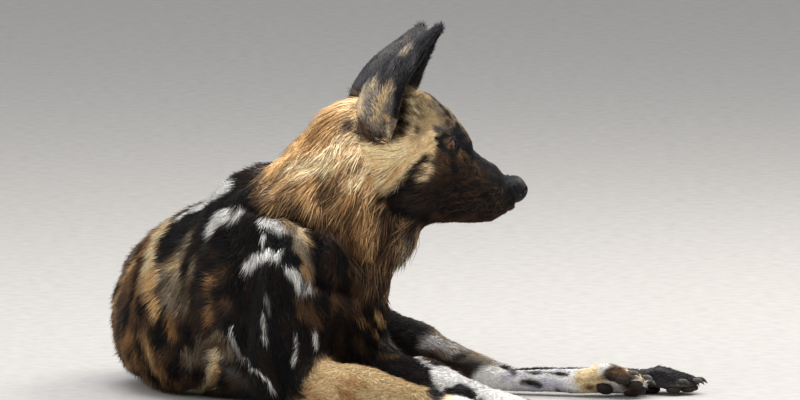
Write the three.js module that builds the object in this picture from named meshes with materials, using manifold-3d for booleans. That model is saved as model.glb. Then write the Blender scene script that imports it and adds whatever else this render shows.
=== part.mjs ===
// African wild dog lying on the floor, life size, in millimetres, +Z up.
// While it is shaped, X runs along the turned head, Y runs away from the dog's
// right shoulder along its curled back, and the floor is at Z = 0.

import * as THREE from 'three';
import Module from 'manifold-3d';

const wasm = await Module();
wasm.setup();

const point = (x, y, z) => new THREE.Vector3(x, y, z);

// Driving sizes
const partingGap = 0.35;
const castStep = 2;
const headTurn = 0.12;
const headPlane = 60;
const crownHeight = 356;
const eyeRadius = 11.5;
const eyeForward = 46;
const eyeSide = 33.5;
const eyeHeight = 291;
const noseForward = 128;
const noseHeight = 240;
const earHalfWidth = 45;
const earWall = 3;
const earRight = { base: point(-12, -40, 294), tip: point(24, -80, 429) };
const earLeft = { base: point(-12, 40, 294), tip: point(25, 85, 416) };
const ribWidth = 100;
const toeRadius = 10.5;
const toeArch = 7;
const clawLength = 15;
const lidThickness = 2;
const lipThickness = 2.4;
const neckCoatDepth = 10;
const tailCoatDepth = 9;
const lockLength = 62;
const lockWidth = 37;
const lockThickness = 9;
const mostBend = 22;
const straightening = 0.6;

// Colours of the main parts
const coatBlack = { color: 0x1b1715, roughness: 0.85 };
const coatTan = { color: 0xb98d56, roughness: 0.9 };
const coatBrown = { color: 0x4d3a28, roughness: 0.9 };
const coatWhite = { color: 0xe5dfd2, roughness: 0.9 };
const wetBlack = { color: 0x0d0c0c, roughness: 0.35 };
const amber = { color: 0x6b3a12, roughness: 0.1 };

// Distance fields

function ellipsoid(centre, radii, turn = 0, pitch = 0) {
  const back = new THREE.Matrix4().makeRotationFromEuler(new THREE.Euler(0, pitch, turn, 'ZYX')).invert();
  const local = point(0, 0, 0);
  return (p) => {
    local.copy(p).sub(centre).applyMatrix4(back);
    const reach = Math.hypot(local.x / radii.x, local.y / radii.y, local.z / radii.z);
    const slope = Math.hypot(local.x / radii.x ** 2, local.y / radii.y ** 2, local.z / radii.z ** 2);
    return slope < 1e-9 ? -radii.z : (reach * (reach - 1)) / slope;
  };
}

function cone(start, startRadius, end, endRadius, narrow = 1) {
  const along = end.clone().sub(start);
  const lengthSquared = along.lengthSq();
  return (p) => {
    const raw = (p.x - start.x) * along.x + (p.y - start.y) * along.y + (p.z - start.z) * along.z;
    const t = Math.min(1, Math.max(0, raw / lengthSquared));
    const dx = p.x - start.x - t * along.x;
    const dy = (p.y - start.y - t * along.y) * narrow;
    const dz = p.z - start.z - t * along.z;
    return Math.hypot(dx, dy, dz) - startRadius - t * (endRadius - startRadius);
  };
}

function blend(fields, softness) {
  return (p) => {
    let nearest = fields[0](p);
    for (let i = 1; i < fields.length; i += 1) {
      const next = fields[i](p);
      const h = Math.max(softness - Math.abs(nearest - next), 0) / softness;
      nearest = Math.min(nearest, next) - (h * h * softness) / 4;
    }
    return nearest;
  };
}

// Solids and meshes

function solidOf(points, faces) {
  const vertProperties = new Float32Array(points.length * 3);
  points.forEach((p, i) => vertProperties.set([p.x, p.y, p.z], i * 3));
  let volume = 0;
  for (const [a, b, c] of faces) {
    volume += points[a].dot(point(0, 0, 0).crossVectors(points[b], points[c]));
  }
  const outward = volume > 0 ? faces : faces.map(([a, b, c]) => [a, c, b]);
  const triVerts = new Uint32Array(outward.flat());
  return new wasm.Manifold(new wasm.Mesh({ numProp: 3, vertProperties, triVerts }));
}

function largest(solid) {
  const pieces = solid.decompose();
  return pieces.reduce((best, next) => (next.volume() > best.volume() ? next : best));
}

function boxesMeet(a, b) {
  const first = a.boundingBox();
  const second = b.boundingBox();
  return [0, 1, 2].every((k) => first.min[k] < second.max[k] && second.min[k] < first.max[k]);
}

// Distance from a centre to the skin along one ray, stopped by the floor.
function reach(field, centre, ray, grow) {
  const probe = point(0, 0, 0);
  const at = (r) => field(probe.copy(ray).multiplyScalar(r).add(centre));
  let outer = castStep;
  while (at(outer) < 0) {
    outer += castStep;
  }
  let inner = outer - castStep;
  for (let i = 0; i < 12; i += 1) {
    const middle = (inner + outer) / 2;
    if (at(middle) < 0) {
      inner = middle;
    } else {
      outer = middle;
    }
  }
  const skin = (inner + outer) / 2 + grow;
  const floor = grow > 0 ? -5 : 0;
  return ray.z < 0 ? Math.min(skin, (centre.z - floor) / -ray.z) : skin;
}

// Rings of points on the skin round a centre line, closed by a dome or a flat at each end.
function castRings(shape, grow = 0) {
  const { line, field, rings, sides, from = 0, to = 1, flatStart, flatEnd, domeLeans = [0.95, 0.45] } = shape;
  const curve = new THREE.CatmullRomCurve3(line);
  const frameSteps = 100;
  const frames = curve.computeFrenetFrames(frameSteps, false);
  const points = [];
  const addRing = (t, lean) => {
    const centre = curve.getPointAt(t);
    const tangent = curve.getTangentAt(t);
    const side = frames.normals[Math.round(t * frameSteps)].clone();
    side.addScaledVector(tangent, -side.dot(tangent)).normalize();
    const other = point(0, 0, 0).crossVectors(tangent, side);
    for (let j = 0; j < sides; j += 1) {
      const angle = (j / sides) * 2 * Math.PI;
      const ray = side.clone().multiplyScalar(Math.cos(angle) * Math.cos(lean));
      ray.addScaledVector(other, Math.sin(angle) * Math.cos(lean));
      ray.addScaledVector(tangent, Math.sin(lean));
      points.push(ray.multiplyScalar(reach(field, centre, ray, grow)).add(centre));
    }
  };
  const addPole = (t, direction) => {
    const centre = curve.getPointAt(t);
    if (direction !== 0) {
      const ray = curve.getTangentAt(t).multiplyScalar(direction);
      centre.addScaledVector(ray, reach(field, centre, ray, grow));
    }
    points.push(centre);
  };
  addPole(from, flatStart ? 0 : -1);
  if (!flatStart) {
    domeLeans.forEach((lean) => addRing(from, -lean));
  }
  for (let i = 0; i < rings; i += 1) {
    addRing(from + ((to - from) * i) / (rings - 1), 0);
  }
  if (!flatEnd) {
    [...domeLeans].reverse().forEach((lean) => addRing(to, lean));
  }
  addPole(to, flatEnd ? 0 : 1);
  return points;
}

function ringFaces(count, sides) {
  const faces = [];
  const ringCount = (count - 2) / sides;
  for (let j = 0; j < sides; j += 1) {
    const next = (j + 1) % sides;
    faces.push([0, 1 + next, 1 + j]);
    faces.push([count - 1, 1 + (ringCount - 1) * sides + j, 1 + (ringCount - 1) * sides + next]);
    for (let i = 0; i < ringCount - 1; i += 1) {
      const a = 1 + i * sides;
      faces.push([a + j, a + next, a + sides + j]);
      faces.push([a + next, a + sides + next, a + sides + j]);
    }
  }
  return faces;
}

// A cast body, and the same body grown by the parting gap.
function cast(shape, swell = 0) {
  const build = (grow) => {
    const points = castRings(shape, swell + grow);
    points.forEach((p) => {
      p.z = Math.abs(p.z) < 1e-3 ? 0 : p.z;
    });
    return solidOf(points, ringFaces(points.length, shape.sides));
  };
  return { solid: build(0), grown: build(partingGap), field: shape.field };
}

// A round bead along a curve, thin at both ends.
function bead(line, radius, rings, sides, endShare = 0.3) {
  const curve = new THREE.CatmullRomCurve3(line);
  const frames = curve.computeFrenetFrames(rings, false);
  const points = [curve.getPointAt(0)];
  for (let i = 1; i < rings; i += 1) {
    const t = i / rings;
    const thickness = radius * (endShare + (1 - endShare) * Math.sin(Math.PI * t));
    const centre = curve.getPointAt(t);
    for (let j = 0; j < sides; j += 1) {
      const angle = (j / sides) * 2 * Math.PI;
      const p = centre.clone().addScaledVector(frames.normals[i], thickness * Math.cos(angle));
      points.push(p.addScaledVector(frames.binormals[i], thickness * Math.sin(angle)));
    }
  }
  points.push(curve.getPointAt(1));
  return solidOf(points, ringFaces(points.length, sides));
}

let seed = 7;
function random(low, high) {
  seed = (seed * 16807) % 2147483647;
  return low + ((high - low) * seed) / 2147483647;
}

// A flat lock of hair: it leaves its sunken root, rises to the coat's surface, lies along it
// and tapers to its tip. The field is that of all the flesh that the lock lies on.
function lockPoints(lock, grow) {
  const { field, root, outward, flow, length, width, thickness, depth, stand, lowest } = lock;
  const sunk = -depth - thickness;
  const stations = [[0, 0.7, 1], [0.3, 1, 1], [0.7, 0.7, 0.6], [1, 0, 0]];
  const across = point(0, 0, 0).crossVectors(flow, outward).normalize();
  const points = [];
  for (const [s, wide, thick] of stations) {
    const level = sunk + (stand - sunk) * Math.sin((Math.min(s * 1.3, 1) * Math.PI) / 2);
    const centre = root.clone().addScaledVector(flow, s * (length + grow));
    let rise = 0;
    for (let i = 0; i < 5; i += 1) {
      const lift = 0.8 * (level - field(centre));
      const next = Math.min(Math.max(rise + lift, -mostBend), mostBend);
      centre.addScaledVector(outward, next - rise);
      rise = next;
    }
    if (points.length === 0) {
      points.push(centre.clone().addScaledVector(outward, -thickness / 2 - grow));
    }
    if (wide === 0) {
      points.push(centre);
    } else {
      const halfWidth = (wide * width) / 2 + grow;
      const halfThick = (thick * thickness) / 2 + grow;
      for (const [w, h] of [[1, 0], [0, 1], [-1, 0], [0, -1]]) {
        const p = centre.clone().addScaledVector(across, w * halfWidth);
        points.push(p.addScaledVector(outward, h * halfThick));
      }
    }
  }
  points.forEach((p) => {
    p.z = Math.max(p.z, lowest);
  });
  return points;
}

function lockBody(lock) {
  const build = (grow) => {
    const points = lockPoints(lock, grow);
    return solidOf(points, ringFaces(points.length, 4));
  };
  return { solid: build(0), grown: build(partingGap) };
}

// Locks in staggered rows round a cast body, lying towards its start when towards is -1.
function coatLocks(shape, { rows, perRow, first, last, towards, depth, hang, scale, under = [], keep }) {
  const curve = new THREE.CatmullRomCurve3(shape.line);
  const frames = curve.computeFrenetFrames(100, false);
  const field = (p) => Math.min(shape.field(p), ...under.map((body) => body.field(p)));
  const locks = [];
  for (let i = 0; i < rows; i += 1) {
    for (let j = 0; j < perRow; j += 1) {
      const spot = first + ((last - first) * (i + random(-0.25, 0.25))) / (rows - 1);
      const t = Math.min(Math.max(spot, 0.01), 0.99);
      const centre = curve.getPointAt(t);
      const index = Math.round(t * 100);
      const angle = ((j + (i % 2) / 2 + random(-0.2, 0.2)) / perRow) * 2 * Math.PI;
      const outward = frames.normals[index].clone().multiplyScalar(Math.cos(angle));
      outward.addScaledVector(frames.binormals[index], Math.sin(angle)).normalize();
      const root = centre.clone();
      root.addScaledVector(outward, reach(shape.field, centre, outward, 0) - depth);
      const flow = curve.getTangentAt(t).multiplyScalar(towards).add(point(random(-0.15, 0.15), 0, -hang));
      flow.addScaledVector(outward, -flow.dot(outward)).normalize();
      const size = scale * random(0.85, 1.15);
      if (keep(root)) {
        locks.push(lockBody({ field, root, outward, flow, length: lockLength * size,
          width: lockWidth * size, thickness: lockThickness * scale, depth, stand: random(0, 4),
          lowest: random(0.4, 1.4) }));
      }
    }
  }
  return joined(locks);
}

function placed(body, matrix) {
  const move = (solid) => {
    const mesh = solid.getMesh();
    const points = [];
    for (let i = 0; i < mesh.vertProperties.length; i += mesh.numProp) {
      points.push(point(...mesh.vertProperties.slice(i, i + 3)).applyMatrix4(matrix));
    }
    const faces = [];
    for (let i = 0; i < mesh.triVerts.length; i += 3) {
      faces.push([...mesh.triVerts.slice(i, i + 3)]);
    }
    return solidOf(points, faces);
  };
  return { solid: move(body.solid), grown: move(body.grown) };
}

function joined(bodies) {
  return {
    solid: bodies.map((b) => b.solid).reduce((a, b) => a.add(b)),
    grown: bodies.map((b) => b.grown).reduce((a, b) => a.add(b)),
  };
}

const group = new THREE.Group();
const parted = [];

// Cuts a body clear of every body before it and adds it as a named mesh.
function addPart(name, body, finish) {
  let solid = body.solid;
  for (const earlier of parted) {
    if (boxesMeet(solid, earlier)) {
      solid = solid.subtract(earlier);
    }
  }
  solid = largest(solid);
  parted.push(body.grown);
  const data = solid.getMesh();
  const geometry = new THREE.BufferGeometry();
  geometry.setAttribute('position', new THREE.BufferAttribute(data.vertProperties, 3));
  geometry.setIndex(new THREE.BufferAttribute(data.triVerts, 1));
  geometry.computeVertexNormals();
  const mesh = new THREE.Mesh(geometry, new THREE.MeshStandardMaterial(finish));
  mesh.name = name;
  group.add(mesh);
  return solid;
}

// Head, in its own frame: X forward, Y to the dog's left, then turned and set over the neck
const headPlace = new THREE.Matrix4().makeRotationZ(headTurn).setPosition(0, headPlane, 0);

function eye(side) {
  const centre = point(eyeForward, side * eyeSide, eyeHeight);
  const field = ellipsoid(centre, point(eyeRadius, eyeRadius, eyeRadius));
  const reachOut = point(3, side * 5, 0);
  const line = [centre.clone().sub(reachOut), centre.clone().add(reachOut)];
  return placed(cast({ line, field, rings: 2, sides: 12 }), headPlace);
}

function nosePad() {
  const pad = ellipsoid(point(noseForward - 2, 0, noseHeight), point(14, 17, 16), 0, 0.35);
  const line = [point(noseForward - 9, 0, noseHeight + 2), point(noseForward + 4, 0, noseHeight - 1)];
  const body = cast({ line, field: pad, rings: 3, sides: 12 });
  for (const side of [-1, 1]) {
    const nostril = [point(141, side * 5, 245), point(137, side * 9, 243), point(132, side * 15, 236)];
    body.solid = body.solid.subtract(bead(nostril, 3, 5, 5, 0.6));
  }
  return placed(body, headPlace);
}

function headField() {
  const fields = [
    ellipsoid(point(-4, 0, crownHeight - 56), point(60, 56, 55)),
    ellipsoid(point(22, 0, crownHeight - 64), point(38, 47, 43)),
    cone(point(60, 0, 259), 30, point(112, 0, 236), 19),
    cone(point(64, 0, 265), 19, point(118, 0, 242), 12),
    cone(point(10, 0, 236), 32, point(94, 0, 215), 15),
  ];
  for (const side of [-1, 1]) {
    fields.push(ellipsoid(point(12, side * 34, 262), point(46, 34, 44)));
    fields.push(cone(point(42, side * 25, 302), 14, point(62, side * 20, 291), 11));
    fields.push(ellipsoid(point(46, side * 29, 266), point(28, 14, 17)));
    fields.push(cone(point(70, side * 12, 240), 22, point(108, side * 9, 230), 14));
  }
  return blend(fields, 16);
}

// The point of the head's skin on the ray from one point towards another.
function onSkin(field, from, towards) {
  const ray = towards.clone().sub(from).normalize();
  return from.clone().addScaledVector(ray, reach(field, from, ray, 0));
}

function eyelids(side) {
  const centre = point(eyeForward, side * eyeSide, eyeHeight);
  const gaze = point(0.45, side * 0.88, 0.12).normalize();
  const forward = point(0.88, -side * 0.45, -0.12).normalize();
  const up = point(0, 0, 0).crossVectors(forward, gaze).multiplyScalar(-side).normalize();
  return [-0.42, 0.62].map((opening) => {
    const line = [];
    for (let i = 0; i <= 6; i += 1) {
      const sweep = 1.15 * (i / 3 - 1);
      const lift = opening * Math.cos(sweep * 1.3);
      const ray = gaze.clone().multiplyScalar(Math.cos(sweep)).addScaledVector(forward, Math.sin(sweep));
      ray.addScaledVector(up, lift).normalize();
      line.push(centre.clone().addScaledVector(ray, eyeRadius + lidThickness * 0.6));
    }
    return bead(line, lidThickness, 6, 4);
  });
}

function mouthLine(field, side) {
  const marks = [[122, 3, 221], [112, 16, 218], [96, 26, 215], [76, 34, 215], [56, 40, 219], [40, 44, 227]];
  return marks.map(([x, y, z]) => onSkin(field, point(x - 14, 0, 228), point(x, side * y, z)));
}

function headBody() {
  const field = headField();
  const line = [point(-40, 0, 292), point(20, 0, 276), point(70, 0, 250), point(108, 0, 236)];
  const skull = cast({ line, field, rings: 15, sides: 20 });
  for (const side of [-1, 1]) {
    for (const lid of eyelids(side)) {
      skull.solid = skull.solid.add(lid);
    }
    const mouth = mouthLine(field, side);
    const upperLip = mouth.map((p) => p.clone().add(point(0, 0, lipThickness * 1.2)));
    skull.solid = skull.solid.add(bead(upperLip, lipThickness, 7, 4));
    skull.solid = skull.solid.subtract(bead(mouth, lipThickness * 0.7, 7, 4));
  }
  return placed(skull, headPlace);
}

// Share of the ear's width from its root at 0 to its tip at 1: fullest low down, narrow at the tip.
function earOutline(t) {
  const least = 0.1;
  const rise = Math.sin((Math.min(0.36 + t * 1.6, 1) * Math.PI) / 2);
  return least + (1 - least) * rise * (1 - t ** 3) ** 0.8;
}

// One ear: a curved wall round a hollow that opens forward and a little outward.
function ear({ base, tip }) {
  const rows = 8;
  const columns = 8;
  const side = Math.sign(base.y);
  const forward = point(0.84, side * 0.28, -0.46).normalize();
  const length = tip.distanceTo(base);
  const up = tip.clone().sub(base).normalize();
  forward.addScaledVector(up, -forward.dot(up)).normalize();
  const across = point(0, 0, 0).crossVectors(up, forward);
  const sheet = (inset) => {
    const points = [];
    for (let i = 0; i <= rows; i += 1) {
      const t = i / rows;
      const width = (earHalfWidth - inset) * earOutline(t);
      const spread = 2.3 - 1.4 * t;
      const radius = width / Math.max(Math.sin(Math.min(spread, Math.PI / 2)), 0.6);
      const centre = base.clone().addScaledVector(up, t * (length - inset));
      centre.addScaledVector(forward, 18 * t * t - 6);
      for (let j = 0; j <= columns; j += 1) {
        const angle = spread * ((2 * j) / columns - 1);
        const p = centre.clone().addScaledVector(across, (radius - inset) * Math.sin(angle));
        p.addScaledVector(forward, -(radius - inset) * (Math.cos(angle) - Math.cos(spread)));
        points.push(p);
      }
    }
    return points;
  };
  const row = columns + 1;
  const count = (rows + 1) * row;
  const faces = [];
  const quad = (a, b, c, d) => {
    faces.push([a, b, c]);
    faces.push([a, c, d]);
  };
  for (let i = 0; i < rows; i += 1) {
    for (let j = 0; j < columns; j += 1) {
      const a = i * row + j;
      quad(a, a + 1, a + row + 1, a + row);
      const b = a + count;
      quad(b, b + row, b + row + 1, b + 1);
    }
    for (const j of [0, columns]) {
      const a = i * row + j;
      const b = a + count;
      if (j === 0) {
        quad(a, a + row, b + row, b);
      } else {
        quad(a, b, b + row, a + row);
      }
    }
  }
  for (let j = 0; j < columns; j += 1) {
    const b = j + count;
    quad(j, b, b + 1, j + 1);
    const top = rows * row + j;
    quad(top, top + 1, top + 1 + count, top + count);
  }
  const wall = (grow) => solidOf([...sheet(-grow), ...sheet(earWall + grow)], faces);
  return placed({ solid: wall(0), grown: wall(partingGap) }, headPlace);
}

// Limbs: each length is a cast body round its own bones
function limb(stations, rings, sides, softness = 20, domeLeans = undefined) {
  const fields = [];
  for (let i = 0; i + 1 < stations.length; i += 1) {
    fields.push(cone(stations[i].at, stations[i].radius, stations[i + 1].at, stations[i + 1].radius));
  }
  const field = fields.length > 1 ? blend(fields, softness) : fields[0];
  const line = stations.map((s) => s.at.clone());
  if (line.length === 3) {
    line[1].lerp(line[0].clone().add(line[2]).multiplyScalar(0.5), straightening);
  }
  return cast({ line, field, rings, sides, domeLeans });
}
const station = (x, y, z, radius) => ({ at: point(x, y, z), radius });

// A foot: the bones down to the pads, then four toes side by side with their claws.
// A roll above 0 lifts the side of the sole that faces the dog's front.
function foot(heel, ball, toeTip, spread, roll = 0) {
  const bodies = [];
  const along = toeTip.at.clone().sub(ball.at).setZ(0).normalize();
  const across = point(-along.y, along.x, 0).applyAxisAngle(along, -roll);
  const up = point(0, 0, 0).crossVectors(along, across);
  bodies.push(limb([heel, ball], 3, 10, 20, [0.7]));
  for (let i = 0; i < 4; i += 1) {
    const offset = (i - 1.5) / 1.5;
    const middle = Math.abs(offset) < 0.5;
    const length = middle ? 1 : 0.8;
    const root = ball.at.clone().addScaledVector(across, offset * spread * 0.6);
    const tip = toeTip.at.clone().addScaledVector(across, offset * spread);
    tip.lerp(root, 1 - length);
    const knuckle = root.clone().lerp(tip, 0.55).addScaledVector(up, toeArch);
    bodies.push(limb([
      { at: root, radius: toeRadius },
      { at: knuckle, radius: toeRadius },
      { at: tip.clone(), radius: toeRadius - 1 },
    ], 3, 6, 6, [0.7]));
    bodies.push(claw(tip, along, up));
  }
  return joined(bodies);
}

function claw(tip, along, up) {
  const sides = 4;
  const points = [];
  const stations = [[-2, 3, 2.6], [6, 2, 1.9], [clawLength, -4, 0]];
  const side = point(0, 0, 0).crossVectors(up, along);
  stations.forEach(([forward, lift, radius]) => {
    const centre = tip.clone().addScaledVector(along, forward + 2).addScaledVector(up, lift);
    const count = radius > 0 ? sides : 1;
    for (let j = 0; j < count; j += 1) {
      const angle = (j / sides) * 2 * Math.PI;
      const p = centre.clone().addScaledVector(side, radius * Math.cos(angle));
      points.push(p.addScaledVector(up, radius * Math.sin(angle)));
    }
  });
  const root = tip.clone().addScaledVector(along, -1).addScaledVector(up, 3);
  const solid = solidOf([root, ...points], ringFaces(points.length + 1, sides));
  return { solid, grown: solid };
}

function addLeg(name, [upper, lower, footBody], finish) {
  addPart(`${name}_upper`, upper, finish);
  addPart(`${name}_lower`, lower, finish);
  addPart(`${name}_foot`, footBody, finish);
}

const forelegRight = [
  limb([station(-142, 62, 214, 40), station(-100, 8, 160, 50), station(-126, 2, 50, 44)], 8, 15),
  limb([station(-118, -2, 36, 35), station(-40, -55, 32, 28), station(40, -97, 22, 19)], 7, 14),
  foot(station(46, -102, 20, 18), station(92, -150, 14, 17), station(120, -184, 11, 10), 22),
];
const forelegLeft = [
  limb([station(-80, 100, 180, 40), station(-60, 52, 150, 38), station(-46, 74, 50, 38)], 8, 16),
  limb([station(-38, 70, 38, 34), station(30, 22, 34, 25), station(92, -28, 21, 18)], 7, 14),
  foot(station(98, -34, 18, 17), station(142, -90, 12, 15), station(172, -128, 10, 10), 21),
];
const hindlegLeft = [
  limb([station(-146, 486, 112, 62), station(-105, 410, 96, 62), station(-56, 338, 72, 38)], 7, 16, 30),
  limb([station(-60, 344, 70, 35), station(20, 286, 46, 25), station(100, 224, 24, 14)], 7, 14),
  foot(station(84, 226, 14, 12), station(205, 190, 17, 15), station(262, 172, 18, 12), 20, 0.5),
];
const hindlegRight = [
  limb([station(-150, 500, 62, 66), station(-85, 455, 50, 58), station(-20, 402, 36, 36)], 7, 16, 30),
  limb([station(-24, 404, 32, 32), station(60, 330, 24, 20), station(132, 262, 15, 12)], 7, 14),
  foot(station(124, 268, 14, 12), station(256, 228, 13, 15), station(319, 210, 13, 12), 20),
];

// Torso, curled to the dog's left, in three lengths
const trunkStations = [
  { at: point(-82, 52, 112), radii: point(78, 60, 108) },
  { at: point(-132, 122, 124), radii: point(ribWidth - 4, 80, 126) },
  { at: point(-186, 215, 112), radii: point(ribWidth + 2, 90, 108) },
  { at: point(-210, 310, 100), radii: point(ribWidth + 4, 90, 92) },
  { at: point(-178, 425, 94), radii: point(ribWidth - 2, 90, 86) },
  { at: point(-126, 510, 80), radii: point(74, 66, 72) },
];

function trunkField() {
  const fields = trunkStations.map((s, i) => {
    const before = trunkStations[Math.max(i - 1, 0)].at;
    const after = trunkStations[Math.min(i + 1, trunkStations.length - 1)].at;
    const turn = Math.atan2(after.y - before.y, after.x - before.x) - Math.PI / 2;
    return ellipsoid(s.at, s.radii, turn);
  });
  fields.push(ellipsoid(point(-140, 108, 214), point(48, 66, 46), 0.5));
  fields.push(ellipsoid(point(-224, 318, 42), point(84, 96, 72)));
  fields.push(ellipsoid(point(-190, 220, 60), point(96, 80, 64)));
  return blend(fields, 60);
}

const trunk = { line: trunkStations.map((s) => s.at), field: trunkField(), sides: 20 };
const loinStart = 0.4;
const pelvisStart = 0.68;
const flatGap = 0.0006;
const chest = cast({ ...trunk, rings: 8, to: loinStart, flatEnd: true });
const loin = cast({ ...trunk, rings: 6, from: loinStart + flatGap, to: pelvisStart, flatStart: true,
  flatEnd: true });
const pelvis = cast({ ...trunk, rings: 7, from: pelvisStart + flatGap, flatStart: true });

// Neck with its ruff: a core half way out, and locks from it out to the full size
function neckShape() {
  const field = blend([
    cone(point(-98, 88, 184), 86, point(-62, 72, 226), 88, 1.1),
    cone(point(-62, 72, 226), 88, point(-38, 62, 286), 66, 1.1),
    ellipsoid(point(-12, 62, 188), point(30, 50, 40)),
    ellipsoid(point(-44, 62, 160), point(40, 60, 50)),
  ], 30);
  const line = [point(-110, 92, 172), point(-62, 74, 222), point(-30, 62, 286)];
  return { line, field, rings: 6, sides: 16 };
}

function neckBody(shoulders) {
  const shape = neckShape();
  const core = cast(shape, -neckCoatDepth);
  const clear = (root) => shoulders.every((body) => body.field(root) > 2);
  let ruff = coatLocks(shape, { rows: 5, perRow: 9, first: 0.96, last: 0.34, towards: -1,
    depth: neckCoatDepth, hang: 0.5, scale: 1, under: shoulders, keep: clear }).solid;
  for (const body of shoulders) {
    ruff = ruff.subtract(body.grown);
  }
  core.solid = core.solid.add(ruff);
  return core;
}

// Tail, lying in a loose curve behind the body: a core, and locks that lie towards its tip
const tailLine = [point(-112, 556, 60), point(-84, 610, 40), point(-96, 680, 34), point(-150, 738, 34),
  point(-215, 768, 28)];
const tailField = blend([
  cone(tailLine[0], 36, tailLine[1], 25),
  cone(tailLine[1], 25, tailLine[2], 32),
  cone(tailLine[2], 32, tailLine[3], 32),
  cone(tailLine[3], 32, tailLine[4], 20),
], 20);
const tail = { line: tailLine, field: tailField, sides: 12 };

function tailLength(cut, coat) {
  const core = cast({ ...tail, ...cut }, -tailCoatDepth);
  const locks = coatLocks(tail, { perRow: 5, towards: 1, depth: tailCoatDepth, hang: 0, scale: 0.75,
    keep: (root) => root.z > lockThickness * 1.5, ...coat });
  return joined([core, locks]);
}
const tailBase = tailLength({ rings: 6, to: 0.3, flatEnd: true }, { rows: 2, first: 0.12, last: 0.24 });
const tailMiddle = tailLength({ rings: 6, from: 0.3013, to: 0.66, flatStart: true, flatEnd: true },
  { rows: 3, first: 0.36, last: 0.58 });
const tailTip = tailLength({ rings: 5, from: 0.6613, flatStart: true }, { rows: 2, first: 0.7, last: 0.86 });

// The animal's parts, each cut clear of those named before it
addPart('eye_right', eye(-1), amber);
addPart('eye_left', eye(1), amber);
addPart('nose_pad', nosePad(), wetBlack);
addPart('head', headBody(), coatBrown);
addPart('ear_right', ear(earRight), coatBlack);
addPart('ear_left', ear(earLeft), coatBlack);
addPart('neck', neckBody([chest, forelegRight[0], forelegLeft[0]]), coatTan);
addLeg('foreleg_right', forelegRight, coatBlack);
addLeg('foreleg_left', forelegLeft, coatBrown);
addLeg('hindleg_left', hindlegLeft, coatWhite);
addLeg('hindleg_right', hindlegRight, coatBlack);
addPart('chest', chest, coatBlack);
addPart('loin', loin, coatTan);
addPart('pelvis', pelvis, coatBrown);
addPart('tail_base', tailBase, coatTan);
addPart('tail_middle', tailMiddle, coatBlack);
addPart('tail_tip', tailTip, coatWhite);

// The origin goes to the middle of the box, on the floor
const box = new THREE.Box3().setFromObject(group);
const middle = box.getCenter(point(0, 0, 0));
for (const mesh of group.children) {
  mesh.geometry.translate(-middle.x, -middle.y, -box.min.z);
}

export default group;
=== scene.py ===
# African wild dog lying on the floor, life size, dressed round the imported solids
import math
import bmesh
import bpy
import numpy as np
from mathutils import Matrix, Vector
from mathutils.bvhtree import BVHTree


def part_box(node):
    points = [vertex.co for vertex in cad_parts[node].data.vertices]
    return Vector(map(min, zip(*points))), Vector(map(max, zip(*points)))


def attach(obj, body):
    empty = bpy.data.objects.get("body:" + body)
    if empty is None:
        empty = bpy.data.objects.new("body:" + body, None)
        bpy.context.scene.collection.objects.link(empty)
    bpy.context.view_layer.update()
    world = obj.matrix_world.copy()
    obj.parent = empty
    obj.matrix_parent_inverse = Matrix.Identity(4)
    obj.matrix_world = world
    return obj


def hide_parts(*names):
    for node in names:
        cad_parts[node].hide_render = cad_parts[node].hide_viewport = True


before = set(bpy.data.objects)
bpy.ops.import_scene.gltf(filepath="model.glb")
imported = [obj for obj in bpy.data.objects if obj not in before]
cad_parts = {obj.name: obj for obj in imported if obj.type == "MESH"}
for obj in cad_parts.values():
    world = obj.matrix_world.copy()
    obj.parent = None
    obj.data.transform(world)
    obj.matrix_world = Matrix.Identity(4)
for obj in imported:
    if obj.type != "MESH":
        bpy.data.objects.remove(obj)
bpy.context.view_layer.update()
bpy.ops.object.select_all(action="DESELECT")

# The head has its own frame in millimetres: x to the nose, y to the animal's left, z up.
# The body's places are in the frame that the head is turned and set in.
headSet = {"angle": 0.12, "plane": 60.0}
eyes = {"at": (46.0, 33.5, 291.0), "radius": 11.5}


def eyeAt(side):
    return np.array(eyes["at"]) * (1, side, 1)


def fromHead(points):
    points = np.asarray(points, float)
    c, s = math.cos(headSet["angle"]), math.sin(headSet["angle"])
    x = points[..., 0] * c - points[..., 1] * s
    y = points[..., 0] * s + points[..., 1] * c + headSet["plane"]
    return np.stack([x, y, points[..., 2]], -1)


def toHead(points):
    points = np.asarray(points, float)
    c, s = math.cos(headSet["angle"]), math.sin(headSet["angle"])
    x, y = points[..., 0], points[..., 1] - headSet["plane"]
    return np.stack([x * c + y * s, -x * s + y * c, points[..., 2]], -1)


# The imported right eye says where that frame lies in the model's own
eyeLow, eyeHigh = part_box("eye_right")
shift = fromHead(eyeAt(-1)) - np.array(eyeLow + eyeHigh) * 500


def place(points):
    return (np.asarray(points, float) - shift) / 1000


def unplace(points):
    return np.asarray(points, float) * 1000 + shift


turnToHead = np.array([[math.cos(headSet["angle"]), -math.sin(headSet["angle"]), 0],
                       [math.sin(headSet["angle"]), math.cos(headSet["angle"]), 0], [0, 0, 1]])


def unit(vectors):
    return vectors / np.linalg.norm(vectors, axis=-1, keepdims=True).clip(1e-9)


def step(value, low, high):
    t = np.clip((value - low) / (high - low), 0, 1)
    return t * t * (3 - 2 * t)


def lineGap(points, line):
    gap = np.full(len(points), 1e9)
    if len(line) == 1:
        return np.linalg.norm(points - line[0], axis=1)
    for start, end in zip(line[:-1], line[1:]):
        run = end - start
        t = np.clip((points - start) @ run / max(run @ run, 1e-9), 0, 1)
        gap = np.minimum(gap, np.linalg.norm(points - start - t[:, None] * run, axis=1))
    return gap


def select(obj):
    bpy.ops.object.select_all(action="DESELECT")
    obj.select_set(True)
    bpy.context.view_layer.objects.active = obj


def applyAll(obj):
    select(obj)
    for modifier in list(obj.modifiers):
        bpy.ops.object.modifier_apply(modifier=modifier.name)


# The shape just added, with its place and turn in the points themselves
def newest():
    bpy.ops.object.transform_apply(location=True, rotation=True, scale=True)
    return bpy.context.active_object


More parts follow.
